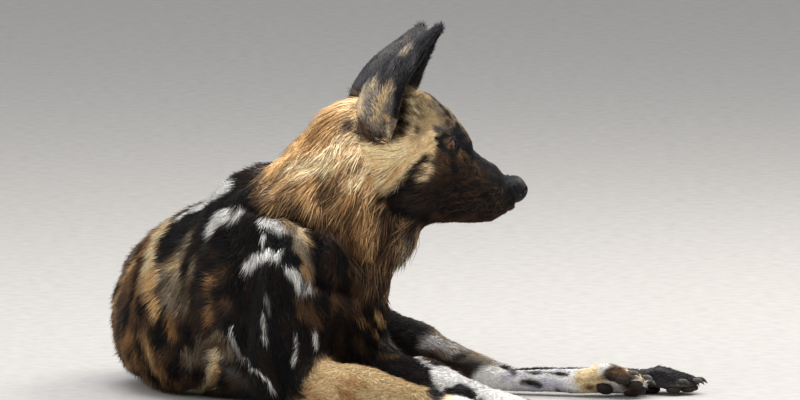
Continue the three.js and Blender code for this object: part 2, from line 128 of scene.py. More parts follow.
def editAll(obj):
    select(obj)
    bpy.ops.object.mode_set(mode="EDIT")
    bpy.ops.mesh.select_all(action="SELECT")


def coords(obj):
    flat = np.zeros(len(obj.data.vertices) * 3)
    obj.data.vertices.foreach_get("co", flat)
    return flat.reshape(-1, 3)


def setCoords(obj, points):
    obj.data.vertices.foreach_set("co", np.asarray(points, float).ravel())
    obj.data.update()


def meshObject(name, points, faces):
    mesh = bpy.data.meshes.new(name)
    faces = np.asarray(faces, np.int32)
    mesh.vertices.add(len(points))
    mesh.vertices.foreach_set("co", np.asarray(points, np.float32).ravel())
    mesh.loops.add(faces.size)
    mesh.loops.foreach_set("vertex_index", faces.ravel())
    mesh.polygons.add(len(faces))
    mesh.polygons.foreach_set("loop_start", np.arange(len(faces), dtype=np.int32) * faces.shape[1])
    mesh.update(calc_edges=True)
    mesh.polygons.foreach_set("use_smooth", np.ones(len(faces), bool))
    obj = bpy.data.objects.new(name, mesh)
    bpy.context.scene.collection.objects.link(obj)
    return obj


# Camera, floor and light; the view is measured in pixels across and down
view = {"distance": 16.0, "frameWidth": 0.870, "elevation": 5.5, "aim": (0.0, 60.0, 229.1), "sensor": 36.0,
        "pixels": (800, 400)}


def setCamera():
    camera = bpy.data.objects.new("camera", bpy.data.cameras.new("camera"))
    bpy.context.scene.collection.objects.link(camera)
    tilt = math.radians(view["elevation"])
    back = Vector((0, -math.cos(tilt), math.sin(tilt)))
    camera.location = Vector(place(view["aim"])) + back * view["distance"]
    camera.rotation_euler = back.to_track_quat("Z", "Y").to_euler()
    camera.data.sensor_width = view["sensor"]
    camera.data.lens = view["sensor"] * view["distance"] / view["frameWidth"]
    camera.data.clip_start, camera.data.clip_end = 0.5, 60
    bpy.context.scene.camera = camera
    bpy.context.scene.view_settings.view_transform = "Standard"


# Where each lamp stands, how wide it is, its power and its colour
lamps = {
    "sky": ((-0.3, -0.4, 3.1), 2.4, 120, (0.98, 0.98, 1.0)),
    "sun": ((1.6, 1.1, 2.2), 1.2, 70, (1.0, 0.93, 0.83)),
    "front": ((-1.9, -2.6, 1.4), 2.2, 62, (1.0, 0.98, 0.95)),
}
room = {"floor": 14, "colour": (0.93, 0.94, 0.96, 1), "strength": 0.75}


def setStudio():
    bpy.ops.mesh.primitive_plane_add(size=room["floor"], location=(0, 2, 0))
    floor = newest()
    floor.name = "floor"
    floor.data.materials.append(floorFinish())
    for name, (at, size, power, colour) in lamps.items():
        lamp = bpy.data.objects.new(name + "_light", bpy.data.lights.new(name + "_light", "AREA"))
        bpy.context.scene.collection.objects.link(lamp)
        lamp.location = at
        lamp.rotation_euler = Vector(at).to_track_quat("Z", "Y").to_euler()
        lamp.data.size, lamp.data.energy, lamp.data.color = size, power, colour
    world = bpy.data.worlds.new("studio")
    bpy.context.scene.world = world
    world.use_nodes = True
    world.node_tree.nodes["Background"].inputs["Color"].default_value = room["colour"]
    world.node_tree.nodes["Background"].inputs["Strength"].default_value = room["strength"]


# Shader sockets with arithmetic
class Socket:
    def __init__(self, tree, link):
        self.tree, self.link = tree, link

    def math(self, operation, *others):
        return node(self.tree, "ShaderNodeMath", {"operation": operation}, [self, *others])

    def __add__(self, other):
        return self.math("ADD", other)

    def __radd__(self, other):
        return self.math("ADD", other)

    def __sub__(self, other):
        return self.math("SUBTRACT", other)

    def __rsub__(self, other):
        return node(self.tree, "ShaderNodeMath", {"operation": "SUBTRACT"}, [other, self])

    def __mul__(self, other):
        return self.math("MULTIPLY", other)

    def __rmul__(self, other):
        return self.math("MULTIPLY", other)

    def __pow__(self, other):
        return self.math("POWER", other)


def node(tree, kind, settings=None, values=(), output=0):
    made = tree.nodes.new(kind)
    for key, value in (settings or {}).items():
        if key == "ramp":
            ramp = made.color_ramp
            while len(ramp.elements) < len(value):
                ramp.elements.new(0.5)
            for stop, (spot, colour) in zip(ramp.elements, value):
                stop.position, stop.color = spot, (*colour, 1)
        else:
            setattr(made, key, value)
    pairs = values.items() if isinstance(values, dict) else enumerate(values)
    for key, value in pairs:
        if value is None:
            continue
        if isinstance(value, Socket):
            tree.links.new(value.link, made.inputs[key])
        else:
            made.inputs[key].default_value = value
    return Socket(tree, made.outputs[output])


def finish(name, fixed):
    material = bpy.data.materials.new(name)
    material.use_nodes = True
    shader = material.node_tree.nodes["Principled BSDF"]
    for key, value in fixed.items():
        shader.inputs[key].default_value = value
    return material, material.node_tree, shader


def feed(tree, shader, **links):
    for key, value in links.items():
        tree.links.new(value.link, shader.inputs[key.replace("_", " ")])


def floorFinish():
    material, tree, shader = finish("pale_floor", {"Roughness": 0.9})
    spot = node(tree, "ShaderNodeTexCoord", output="Object")
    grain = node(tree, "ShaderNodeTexNoise", {}, {"Vector": spot, "Scale": 60.0, "Detail": 4.0})
    stops = [(0.3, (0.33, 0.32, 0.31)), (0.7, (0.38, 0.37, 0.355))]
    colour = node(tree, "ShaderNodeValToRGB", {"ramp": stops}, [grain])
    feed(tree, shader, Base_Color=colour)
    return material


print("studio")
setCamera()
setStudio()


# The skin: the flesh nodes grown a little, fused, smoothed and set in by the depth of the coat,
# then refined on the head
skinSizes = {
    "grow": 1.2, "voxel": 4.4, "bodyRounds": 24, "maneRounds": 30, "headRounds": 10, "footRounds": 4,
    "depths": {"head": 1.6, "ear": 0.6, "neck": 9, "foot": 1.0, "lower": 3, "upper": 4, "body": 5, "tail": 9},
}
trunkNodes = ("chest", "loin", "pelvis")
fleshNodes = [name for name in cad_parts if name.split("_")[0] not in ("eye", "nose", "ear")]
lockNodes = [name for name in fleshNodes if name.split("_")[0] in ("neck", "tail")]
# Round stations under the ruff and the tail brush, each with its reach along x, y and z
ruffStations = [
    ((-98, 88, 184), (86, 78, 86)), ((-80, 80, 205), (87, 79, 87)), ((-62, 72, 226), (88, 80, 88)),
    ((-54, 69, 246), (80, 73, 80)), ((-46, 65, 266), (73, 66, 73)), ((-38, 62, 286), (64, 58, 64)),
    ((-14, 62, 190), (30, 48, 40)), ((-44, 62, 160), (42, 58, 50)), ((2, 61, 201), (31, 42, 31)),
]
tailLine = [((-112, 556, 60), 36), ((-84, 610, 40), 25), ((-96, 680, 34), 32), ((-150, 738, 34), 32),
            ((-215, 768, 28), 20)]
earTips = {"right": (24, -80, 429), "left": (25, 85, 416)}
earShape = {"halfWidth": 45.0, "wall": 3.0, "narrow": 0.16, "forward": 5.0, "spread": 2.3, "close": 1.4}


def fleshCopy(name, grow):
    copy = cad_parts[name].copy()
    copy.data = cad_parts[name].data.copy()
    copy.parent = None
    bpy.context.scene.collection.objects.link(copy)
    editAll(copy)
    bpy.ops.mesh.remove_doubles(threshold=0.00002)
    bpy.ops.object.mode_set(mode="OBJECT")
    setCoords(copy, coords(copy) + normalsOf(copy) * grow / 1000)
    return copy


def normalsOf(obj):
    normals = np.zeros(len(obj.data.vertices) * 3)
    obj.data.vertices.foreach_get("normal", normals)
    return normals.reshape(-1, 3)


def edgesOf(obj):
    pairs = np.zeros(len(obj.data.edges) * 2, np.int32)
    obj.data.edges.foreach_get("vertices", pairs)
    return pairs.reshape(-1, 2)


# Each value moves towards the mean of its neighbours, round after round
def evenOut(values, pairs, rounds, weight=1.0, pull=None):
    count = len(values)
    pull = np.ones(len(pairs)) if pull is None else pull
    a, b = pairs[:, 0], pairs[:, 1]
    degree = (np.bincount(a, pull, count) + np.bincount(b, pull, count)).clip(1e-6)
    flat = values.reshape(count, -1)
    weight = np.broadcast_to(np.asarray(weight, float), (count,))[:, None]
    for _ in range(rounds):
        total = np.stack([np.bincount(a, flat[b, k] * pull, count) + np.bincount(b, flat[a, k] * pull, count)
                          for k in range(flat.shape[1])], -1)
        flat = flat + weight * 0.6 * (total / degree[:, None] - flat)
    return flat.reshape(values.shape)


def trianglesOf(obj):
    obj.data.calc_loop_triangles()
    tris = np.zeros(len(obj.data.loop_triangles) * 3, np.int32)
    obj.data.loop_triangles.foreach_get("vertices", tris)
    return tris.reshape(-1, 3)


# Regions of the animal, each with its own smoothing and hair
regions = ("head", "ear", "neck", "foot", "lower", "upper", "body", "tail")


def regionOf(name):
    for region in ("head", "ear", "neck", "foot", "lower", "upper", "tail"):
        if region in name.split("_"):
            return regions.index(region)
    return regions.index("body")


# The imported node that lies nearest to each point
def nearestNodes(points):
    names = list(fleshNodes) + ["ear_right", "ear_left"]
    verts, faces, owner, base = [], [], [], 0
    for name in names:
        tris = trianglesOf(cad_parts[name])
        verts.append(coords(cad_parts[name]))
        faces.append(tris + base)
        owner += [names.index(name)] * len(tris)
        base += len(verts[-1])
    tree = BVHTree.FromPolygons(np.concatenate(verts).tolist(), np.concatenate(faces).tolist())
    return names, np.array([owner[tree.find_nearest(p)[2]] for p in points.tolist()])


# One ear: a thin cup that opens forward, its rim rounded, its root inside the head
def earShell(side, tip):
    rows, columns = 44, 32
    base = np.array([-12.0, side * 40.0, 294.0])
    tip = np.array(tip, float)
    up = tip - base
    length = np.linalg.norm(up)
    up /= length
    forward = np.array([0.84, side * 0.28, -0.46])
    forward -= up * forward.dot(up)
    forward /= np.linalg.norm(forward)
    across = np.cross(up, forward)
    t = np.linspace(0, 1, rows + 1)[:, None]
    j = np.linspace(-1, 1, columns + 1)[None, :]

    def sheet(inset):
        rise = np.sin(np.minimum(0.36 + t * 1.6, 1) * math.pi / 2)
        low = 1 - step(t, 0.2, 0.65)
        width = (earShape["halfWidth"] - inset) * (0.1 + 0.9 * rise * (1 - t ** 3).clip(0) ** 0.8)
        width = width * (1 - earShape["narrow"] * low)
        spreadAngle = earShape["spread"] - earShape["close"] * t
        radius = width / np.maximum(np.sin(np.minimum(spreadAngle, math.pi / 2)), 0.6)
        centre = base + up * (t[..., None] * (length - inset)) + forward * (18 * t * t - 6)[..., None]
        centre = centre + np.array([earShape["forward"], 0, 0]) * low[..., None]
        angle = spreadAngle * j
        p = centre + across * ((radius - inset) * np.sin(angle))[..., None]
        return p - forward * ((radius - inset) * (np.cos(angle) - np.cos(spreadAngle)))[..., None]

    outer, inner = sheet(0.4).reshape(-1, 3), sheet(earShape["wall"]).reshape(-1, 3)
    row, count = columns + 1, len(outer)
    i, k = np.meshgrid(np.arange(rows), np.arange(columns), indexing="ij")
    a = (i * row + k).ravel()
    front = np.stack([a, a + 1, a + row + 1, a + row], -1)
    backs = np.stack([a + count, a + row + count, a + row + 1 + count, a + 1 + count], -1)
    left = np.arange(rows) * row
    right = left + columns
    ends = [np.stack([left, left + row, left + row + count, left + count], -1),
            np.stack([right, right + count, right + row + count, right + row], -1)]
    low = np.arange(columns)
    high = low + rows * row
    ends += [np.stack([low, low + count, low + 1 + count, low + 1], -1),
             np.stack([high, high + 1, high + 1 + count, high + count], -1)]
    points = place(fromHead(np.concatenate([outer, inner])))
    shell = meshObject("ear_shell", points, np.concatenate([front, backs] + ends))
    editAll(shell)
    bpy.ops.mesh.normals_make_consistent(inside=False)
    bpy.ops.object.mode_set(mode="OBJECT")
    return shell


def ball(at, radii):
    size = np.array(radii) / 1000
    bpy.ops.mesh.primitive_ico_sphere_add(subdivisions=3, radius=1, location=place(at), scale=size)
    return newest()


def curvePoint(line, t):
    spot = t * (len(line) - 1)
    i = min(int(spot), len(line) - 2)
    u = spot - i
    p = [np.array(line[min(max(k, 0), len(line) - 1)], float) for k in (i - 1, i, i + 1, i + 2)]
    return 0.5 * (2 * p[1] + (p[2] - p[0]) * u + (2 * p[0] - 5 * p[1] + 4 * p[2] - p[3]) * u * u
                  + (3 * p[1] - p[0] - 3 * p[2] + p[3]) * u ** 3)


def tailAt(t):
    spot = curvePoint([at for at, _ in tailLine], t)
    return spot, float(np.interp(t, np.linspace(0, 1, len(tailLine)), [r for _, r in tailLine]))


# The nose leather closes the muzzle; the skin's edge lies round it
nose = {"at": (124.0, 0.0, 239.5), "radii": (16.0, 16.5, 15.2), "edge": 119.0, "lean": 0.3,
        "chin": (94, 200.5), "chinSlope": 0.73, "flat": 1.2, "groove": 1.3, "grooveWidth": 0.9}
# How much of the muzzle is drawn in, how close to the leather, and over which run past its edge
muzzleEnd = {"behind": 26, "near": 55, "under": 0.15, "snug": 0.97, "snugRun": (-9, 3),
             "sunk": 0.8, "sunkRun": (3, 8)}
nostrilMarks = [(138, 6.5, 240), (135.5, 9.5, 237.5), (132, 12, 235.5), (128, 14.5, 235.5),
                (125, 15.5, 238.5), (123.5, 15.5, 243)]
# Width and depth along those marks, from the opening to the end of the slit
nostril = {"widthAt": (0, 0.35, 0.6, 1), "width": (2.2, 3.0, 1.7, 0.9), "depthAt": (0, 0.3, 0.6, 1),
           "depth": (7.5, 7.5, 2.6, 2.4), "wing": 0.4, "wingFrom": 1.6, "wingWidth": 1.4}


# The muzzle's end is drawn in round the nose leather, with a chin that slants up to it
def fitNose(points):
    at, radii = np.array(nose["at"]), np.array(nose["radii"])
    here = points[:, 0] > nose["edge"] - muzzleEnd["behind"]
    here &= np.linalg.norm(points - at, axis=1) < muzzleEnd["near"]
    spot = points[here]
    spot[:, 2] = np.maximum(spot[:, 2], nose["chin"][1] + (spot[:, 0] - nose["chin"][0]) * nose["chinSlope"])
    along = spot[:, 0] - nose["lean"] * (at[2] + 6 - spot[:, 2])
    offset = spot - at
    offset[:, 0] = np.maximum(offset[:, 0], 0)
    reach = np.linalg.norm(offset / radii, axis=1).clip(0.05)
    upper = muzzleEnd["under"] + (1 - muzzleEnd["under"]) * step(spot[:, 2], at[2] - 12, at[2] + 2)
    snugFrom, snugTo = nose["edge"] + np.array(muzzleEnd["snugRun"])
    sunkFrom, sunkTo = nose["edge"] + np.array(muzzleEnd["sunkRun"])
    snug = reach + (muzzleEnd["snug"] - reach) * step(along, snugFrom, snugTo) * upper
    snug += (muzzleEnd["sunk"] - snug) * step(along, sunkFrom, sunkTo)
    middle = np.tile(at, (len(spot), 1))
    middle[:, 0] = np.minimum(spot[:, 0], at[0])
    points[here] = middle + (spot - middle) * (snug / reach)[:, None]


# Eyelids, brow and mouth are drawn in the skin once it is fine enough there
face = {"gaze": (0.45, 0.88, 0.12), "ahead": (0.88, -0.45, -0.12), "halfOpening": 10.5, "upperLid": 3.9,
        "lowerLid": 3.8, "slant": 0.42, "lidStep": 1.5, "lidRise": 0.10, "sunk": 2.5, "lidBlend": 10.0,
        "mouthDepth": 2.6, "mouthWidth": 1.3, "lipSwell": 1.3, "lipFrom": 3.2, "lipWidth": 2.2,
        "lowerLip": 0.35}
mouthMarks = [(122, 3, 219), (112, 16, 216), (96, 26, 213), (76, 34, 213), (56, 40, 217), (40, 44, 225)]


def eyeAxes(side):
    gaze = unit(np.array(face["gaze"]) * (1, side, 1))
    ahead = np.array(face["ahead"]) * (1, side, 1)
    ahead = unit(ahead - gaze * ahead.dot(gaze))
    return gaze, ahead, np.cross(ahead, gaze) * -side


# How far outside the lids' almond a direction from the eye's middle runs, in millimetres
def lidGap(offset, side):
    gaze, ahead, up = eyeAxes(side)
    a = offset @ ahead
    b = offset @ up + face["slant"] * a
    height = np.where(b > 0, face["upperLid"], face["lowerLid"])
    reach = np.sqrt((a / face["halfOpening"]) ** 2 + (b / height) ** 2)
    return (reach - 1) * np.where(np.abs(a) > face["halfOpening"], 7, 5), offset @ gaze


def drawFace(obj):
    points = toHead(unplace(coords(obj)))
    tree = BVHTree.FromPolygons(coords(obj).tolist(), trianglesOf(obj).tolist())
    for side in (-1, 1):
        middle = eyeAt(side)
        offset = points - middle
        gap, out = lidGap(offset, side)
        ray = unit(offset)
        radius = np.linalg.norm(offset, axis=1)
        here = (radius < 30) & (out > 0)
        lid = eyes["radius"] + face["lidStep"] + face["lidRise"] * np.clip(gap, 0, 20)
        hold = 1 - step(gap, 1.0, face["lidBlend"])
        target = np.where(gap < 0, eyes["radius"] - face["sunk"], radius + (lid - radius) * hold)
        points[here] = middle + ray[here] * target[here, None]
    fitNose(points)
    setCoords(obj, place(fromHead(points)))
    for side in (-1, 1):
        line = []
        for x, y, z in mouthMarks:
            start = np.array((x - 14, 0, 228.0))
            ray = unit(np.array((x, side * y, z)) - start)
            a, b = place(fromHead(start)), place(fromHead(start + ray))
            hit = tree.ray_cast(Vector(a), Vector(b - a).normalized())[0]
            line.append(toHead(unplace(np.array(hit))) if hit else np.array((x, side * y, z)))
        line = np.array([curvePoint(line, t) for t in np.linspace(0, 1, 24)])
        points = toHead(unplace(coords(obj)))
        normal = normalsOf(obj) @ turnToHead
        near = np.flatnonzero(np.all((points > line.min(0) - 9) & (points < line.max(0) + 9), axis=1))
        gap = lineGap(points[near], line)
        above = points[near, 2] - np.interp(-points[near, 0], -line[:, 0], line[:, 2])
        fade = 1 - step(line[:, 0].min() - points[near, 0] + 6, 0, 6)
        cut = -face["mouthDepth"] * np.exp(-(gap / face["mouthWidth"]) ** 2)
        swell = face["lipSwell"] * np.exp(-((gap - face["lipFrom"]) / face["lipWidth"]) ** 2)
        swell = swell * np.where(above > 0, 1, face["lowerLip"])
        points[near] += normal[near] * ((cut + swell) * fade)[:, None]
        setCoords(obj, place(fromHead(points)))


# A line of sight through a pixel of the view
def pixelRay(x, y):
    camera = bpy.context.scene.camera
    tilt = math.radians(view["elevation"])
    ahead = np.array([0, math.cos(tilt), -math.sin(tilt)])
    rise = np.array([0, math.sin(tilt), math.cos(tilt)])
    wide, high = view["pixels"]
    scale = view["frameWidth"] / wide
    aside = np.array([1, 0, 0]) * (x - wide / 2) * scale
    ray = ahead * view["distance"] + aside + rise * (high / 2 - y) * scale
    return np.array(camera.location), unit(ray)


# Where it meets a surface, or comes nearest to it
def sightOn(surface, x, y):
    points, tree = surface
    start, ray = pixelRay(x, y)
    hit = tree.ray_cast(Vector(start), Vector(ray))[0]
    if hit is not None:
        return unplace(np.array(hit))
    offset = points - start
    gap = np.linalg.norm(offset - (offset @ ray)[:, None] * ray, axis=1)
    return unplace(points[gap.argmin()])


def strokeLine(surface, pixels):
    fine = [pixels[0]]
    for (x0, y0), (x1, y1) in zip(pixels[:-1], pixels[1:]):
        steps = max(int(math.hypot(x1 - x0, y1 - y0) / 9), 1)
        fine += [(x0 + (x1 - x0) * k / steps, y0 + (y1 - y0) * k / steps) for k in range(1, steps + 1)]
    return np.array([sightOn(surface, x, y) for x, y in fine])


def surfaceOf(obj):
    return coords(obj), BVHTree.FromPolygons(coords(obj).tolist(), trianglesOf(obj).tolist())


# Folds and swellings: how deep in millimetres, how far they reach and where they run in the view
folds = [
    (9, 9, [(244, 204), (262, 210), (286, 213), (306, 219)]),
    (7, 9, [(308, 222), (317, 240), (318, 262), (320, 284)]),
    (9, 13, [(324, 288), (336, 294), (352, 292)]),
    (6, 10, [(230, 300), (233, 330), (244, 356), (262, 378)]),
    (4, 8, [(326, 190), (332, 206), (336, 224)]),
    (-5, 20, [(306, 192), (290, 198)]),
    (-4, 16, [(352, 200), (356, 226)]),
    (-5, 18, [(276, 262), (270, 290)]),
    (-4, 22, [(262, 330), (270, 350)]),
    (-7, 15, [(448, 120), (458, 131), (464, 142)]),
    (-3, 12, [(428, 98), (440, 110)]),
]


def foldSkin(obj):
    surface = surfaceOf(obj)
    points, normal = unplace(surface[0]), evenOut(normalsOf(obj), edgesOf(obj), 6)
    push = np.zeros(len(points))
    for depth, reach, pixels in folds:
        push += depth * np.exp(-(lineGap(points, strokeLine(surface, pixels)) / reach) ** 2)
    setCoords(obj, place(points - normal * push[:, None]))


def fuseSkin():
    copies = [fleshCopy(name, skinSizes["grow"]) for name in fleshNodes if name not in lockNodes]
    deep = skinSizes["depths"]["neck"]
    copies += [ball(at, np.array(radii) - deep) for at, radii in ruffStations]
    for t in np.linspace(0, 1, 34):
        at, radius = tailAt(t)
        copies.append(ball(at, (radius - skinSizes["depths"]["tail"],) * 3))
    bpy.ops.object.select_all(action="DESELECT")
    for copy in copies:
        copy.select_set(True)
    bpy.context.view_layer.objects.active = copies[0]
    bpy.ops.object.join()
    body = copies[0]
    body.name = "skin"
    remesh = body.modifiers.new("fuse", "REMESH")
    remesh.mode, remesh.voxel_size = "VOXEL", skinSizes["voxel"] / 1000
    applyAll(body)
    return body


# Faces inside a ball round each point are split in four
def refine(obj, centres, radius):
    points = coords(obj)
    near = np.zeros(len(points), bool)
    for centre in centres:
        near |= np.linalg.norm(points - place(centre), axis=1) < radius / 1000
    mesh = bmesh.new()
    mesh.from_mesh(obj.data)
    mesh.verts.ensure_lookup_table()
    edges = [e for e in mesh.edges if near[e.verts[0].index] and near[e.verts[1].index]]
    bmesh.ops.subdivide_edges(mesh, edges=edges, cuts=1, use_grid_fill=True, smooth=0.0)
    bmesh.ops.triangulate(mesh, faces=[f for f in mesh.faces if len(f.verts) > 4])
    mesh.to_mesh(obj.data)
    mesh.free()


def shapeSkin(body):
    points = coords(body)
    names, nearest = nearestNodes(points)
    region = np.array([regionOf(name) for name in names])[nearest]
    pairs = edgesOf(body)
    shares = evenOut(np.eye(len(regions))[region], pairs, 14)
    share = {name: shares[:, k] for k, name in enumerate(regions)}
    mane = share["neck"] + share["tail"]
    bodyShare = 1 - np.clip(mane + share["head"] + share["foot"], 0, 1)
    points = evenOut(points, pairs, skinSizes["bodyRounds"], bodyShare)
    points = evenOut(points, pairs, skinSizes["footRounds"], share["foot"])
    points = evenOut(points, pairs, skinSizes["maneRounds"], mane)
    points = evenOut(points, pairs, skinSizes["headRounds"], share["head"])
    setCoords(body, points)
    depths = dict(skinSizes["depths"], neck=0, tail=0)
    depth = sum(share[name] * value for name, value in depths.items()) + skinSizes["grow"] * (1 - mane)
    points = points - normalsOf(body) * depth[:, None] / 1000
    points[:, 2] = np.maximum(points[:, 2], 0.0004)
    setCoords(body, points)


print("skin")
skin = fuseSkin()
shapeSkin(skin)
foldSkin(skin)
refine(skin, [fromHead((20, 0, 270)), fromHead((80, 0, 240))], 95)
eyeSpots = [fromHead(eyeAt(side)) for side in (-1, 1)]
refine(skin, eyeSpots, 24)
refine(skin, eyeSpots, 19)
refine(skin, [fromHead((x, side * y, z)) for x, y, z in mouthMarks for side in (-1, 1)], 13)
drawFace(skin)
shells = [earShell(side, earTips[name]) for name, side in (("right", -1), ("left", 1))]
for shell in shells:
    union = skin.modifiers.new("ear", "BOOLEAN")
    union.operation, union.solver, union.object = "UNION", "EXACT", shell
applyAll(skin)
for shell in shells:
    bpy.data.objects.remove(shell)
editAll(skin)
bpy.ops.mesh.quads_convert_to_tris()
bpy.ops.uv.smart_project(angle_limit=1.15, island_margin=0.001)
bpy.ops.object.mode_set(mode="OBJECT")
bpy.ops.object.shade_smooth()
skin.data.uv_layers[0].name = "OFBake"
print("skin triangles", len(trianglesOf(skin)))
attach(skin, "root")
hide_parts(*fleshNodes, "ear_right", "ear_left")

# The lie of the coat: each length of the body has a line that the hair follows
lies = {
    "neck": [(-20, 60, 300), (-62, 74, 222), (-120, 96, 150)],
    "chest": [(-82, 52, 120), (-132, 122, 124), (-186, 215, 112), (-210, 310, 100)],
    "loin": [(-132, 122, 124), (-186, 215, 112), (-210, 310, 100), (-178, 425, 94)],
    "pelvis": [(-210, 310, 100), (-178, 425, 94), (-126, 510, 80), (-112, 556, 60)],
    "foreleg_right_upper": [(-142, 62, 214), (-110, 8, 130), (-122, 2, 50)],
    "foreleg_right_lower": [(-118, -2, 36), (40, -97, 22)],
    "foreleg_right_foot": [(46, -102, 20), (120, -184, 11)],
    "foreleg_left_upper": [(-80, 100, 180), (-56, 58, 110), (-46, 74, 50)],
    "foreleg_left_lower": [(-38, 70, 38), (92, -28, 21)],
    "foreleg_left_foot": [(98, -34, 18), (172, -128, 10)],
    "hindleg_left_upper": [(-146, 486, 112), (-56, 338, 72)],
    "hindleg_left_lower": [(-60, 344, 70), (100, 224, 24)],
    "hindleg_left_foot": [(84, 226, 14), (262, 172, 15)],
    "hindleg_right_upper": [(-150, 500, 62), (-20, 402, 36)],
    "hindleg_right_lower": [(-24, 404, 32), (132, 262, 15)],
    "hindleg_right_foot": [(124, 268, 14), (308, 214, 13)],
    "tail_base": [at for at, _ in tailLine[:3]],
    "tail_middle": [at for at, _ in tailLine[1:4]],
    "tail_tip": [at for at, _ in tailLine[2:]],
}
hang = {"neck": 0.75, "chest": 0.5, "loin": 0.6, "pelvis": 0.35}
noseTip = fromHead((132, 0, 246))


def lieOf(name, points):
    if name == "head":
        return unit(points - noseTip)
    if name in ("ear_right", "ear_left"):
        side = -1 if name == "ear_right" else 1
        up = fromHead(earTips[name[4:]]) - fromHead((-12, side * 40, 294))
        return np.tile(unit(up), (len(points), 1))
    line = np.array(lies[name], float)
    best, flow = np.full(len(points), 1e9), np.zeros((len(points), 3))
    for start, end in zip(line[:-1], line[1:]):
        t = np.clip((points - start) @ (end - start) / ((end - start) @ (end - start)), 0, 1)
        gap = np.linalg.norm(points - start - t[:, None] * (end - start), axis=1)
        nearer = gap < best
        best[nearer], flow[nearer] = gap[nearer], unit(end - start)
    return flow - np.array([0, 0, hang.get(name, 0)])


def alongSurface(vectors, normals):
    return unit(vectors - normals * np.sum(vectors * normals, -1, keepdims=True))


rng = np.random.default_rng(5)
skinAt, skinNormal, skinEdges = coords(skin), normalsOf(skin), edgesOf(skin)
skinModel = unplace(skinAt)
nodeNames, skinNode = nearestNodes(skinAt)
skinFlow = np.zeros_like(skinModel)
for index, name in enumerate(nodeNames):
    here = skinNode == index
    skinFlow[here] = lieOf(name, skinModel[here])
skinTris = trianglesOf(skin)
skinSurface = surfaceOf(skin)
# Where the view shows the lie, it is combed: how far each stroke reaches and where it runs
combs = [
    (24, [(190, 204), (164, 228), (144, 264), (137, 306), (148, 352), (160, 376)]),
    (24, [(224, 212), (198, 244), (183, 282), (180, 322), (192, 358)]),
    (22, [(258, 206), (248, 246), (243, 290), (252, 330), (262, 360)]),
    (9, [(229, 322), (234, 342), (243, 356), (258, 369), (270, 381), (276, 394)]),
    (18, [(290, 236), (298, 280), (300, 320), (296, 364)]),
    (14, [(316, 300), (318, 330), (316, 352)]),
    (18, [(356, 128), (330, 152), (300, 174), (268, 196)]),
    (18, [(372, 176), (352, 204), (346, 240), (340, 284)]),
    (16, [(398, 196), (392, 226), (384, 256), (378, 284)]),
    (14, [(430, 140), (410, 162), (388, 186), (374, 204)]),
]


def combed(flow):
    for reach, pixels in combs:
        line = strokeLine(skinSurface, pixels)
        best, way = np.full(len(flow), 1e9), np.zeros_like(flow)
        for start, end in zip(line[:-1], line[1:]):
            gap = lineGap(skinModel, np.array([start, end]))
            nearer = gap < best
            best[nearer], way[nearer] = gap[nearer], unit(end - start)
        hold = np.exp(-(best / reach) ** 2)[:, None]
        flow = flow * (1 - hold) + evenOut(way, skinEdges, 4) * hold
    return flow


skinFlow = combed(unit(skinFlow))
skinFlow = alongSurface(evenOut(skinFlow, skinEdges, 12), skinNormal)
print("lie of the coat")


# Noise carried by the skin: drawn at random, then evened out all round, or along the lie
def skinNoise(rounds, along=0):
    values = evenOut(rng.standard_normal(len(skinAt)), skinEdges, rounds)
    if along:
        run = unit(skinAt[skinEdges[:, 0]] - skinAt[skinEdges[:, 1]])
        lie = unit(skinFlow[skinEdges[:, 0]] + skinFlow[skinEdges[:, 1]])
        values = evenOut(values, skinEdges, along, pull=np.abs(np.sum(run * lie, -1)) ** 8 + 0.004)
        values -= evenOut(values, skinEdges, 40) * 0.85
    return (values - values.mean()) / values.std()


# How far each point of the skin belongs to the named nodes
def nodeShare(names, rounds):
    wanted = np.isin(skinNode, [nodeNames.index(name) for name in names]).astype(float)
    return evenOut(wanted, skinEdges, rounds)


headShare = nodeShare(("head", "ear_right", "ear_left"), 6)
noise = {
    "streak": skinNoise(1, 26), "fine": skinNoise(0, 3), "blotch": skinNoise(70), "edge": skinNoise(6),
    "wave": skinNoise(14), "lift": skinNoise(5),
}
muzzleShare = headShare * (0.35 + 0.65 * step(toHead(skinModel)[:, 0], -5, 40))
noise["streak"] += (noise["fine"] * 0.3 - noise["streak"]) * muzzleShare * 0.9

# Coat colours as they look in daylight, and where each lies
palette = {
    "black": (13, 12, 14), "brownBlack": (31, 22, 18), "darkBrown": (56, 40, 30), "brown": (98, 72, 50),
    "ochre": (160, 118, 74), "tan": (204, 164, 114), "gold": (240, 196, 138), "cream": (254, 230, 188),
    "white": (240, 238, 234), "greyTan": (150, 136, 116), "grey": (112, 108, 106), "ash": (66, 63, 64),
    "sand": (200, 174, 130), "ink": (29, 31, 37), "pale": (186, 182, 180), "lavender": (196, 194, 204),
    "amber": (98, 58, 26), "leather": (17, 16, 18), "horn": (44, 38, 34),
}


def linear(rgb):
    rgb = np.array(rgb, float) / 255
    return np.where(rgb <= 0.04045, rgb / 12.92, ((rgb + 0.055) / 1.055) ** 2.4)


colours = {name: linear(rgb) for name, rgb in palette.items()}

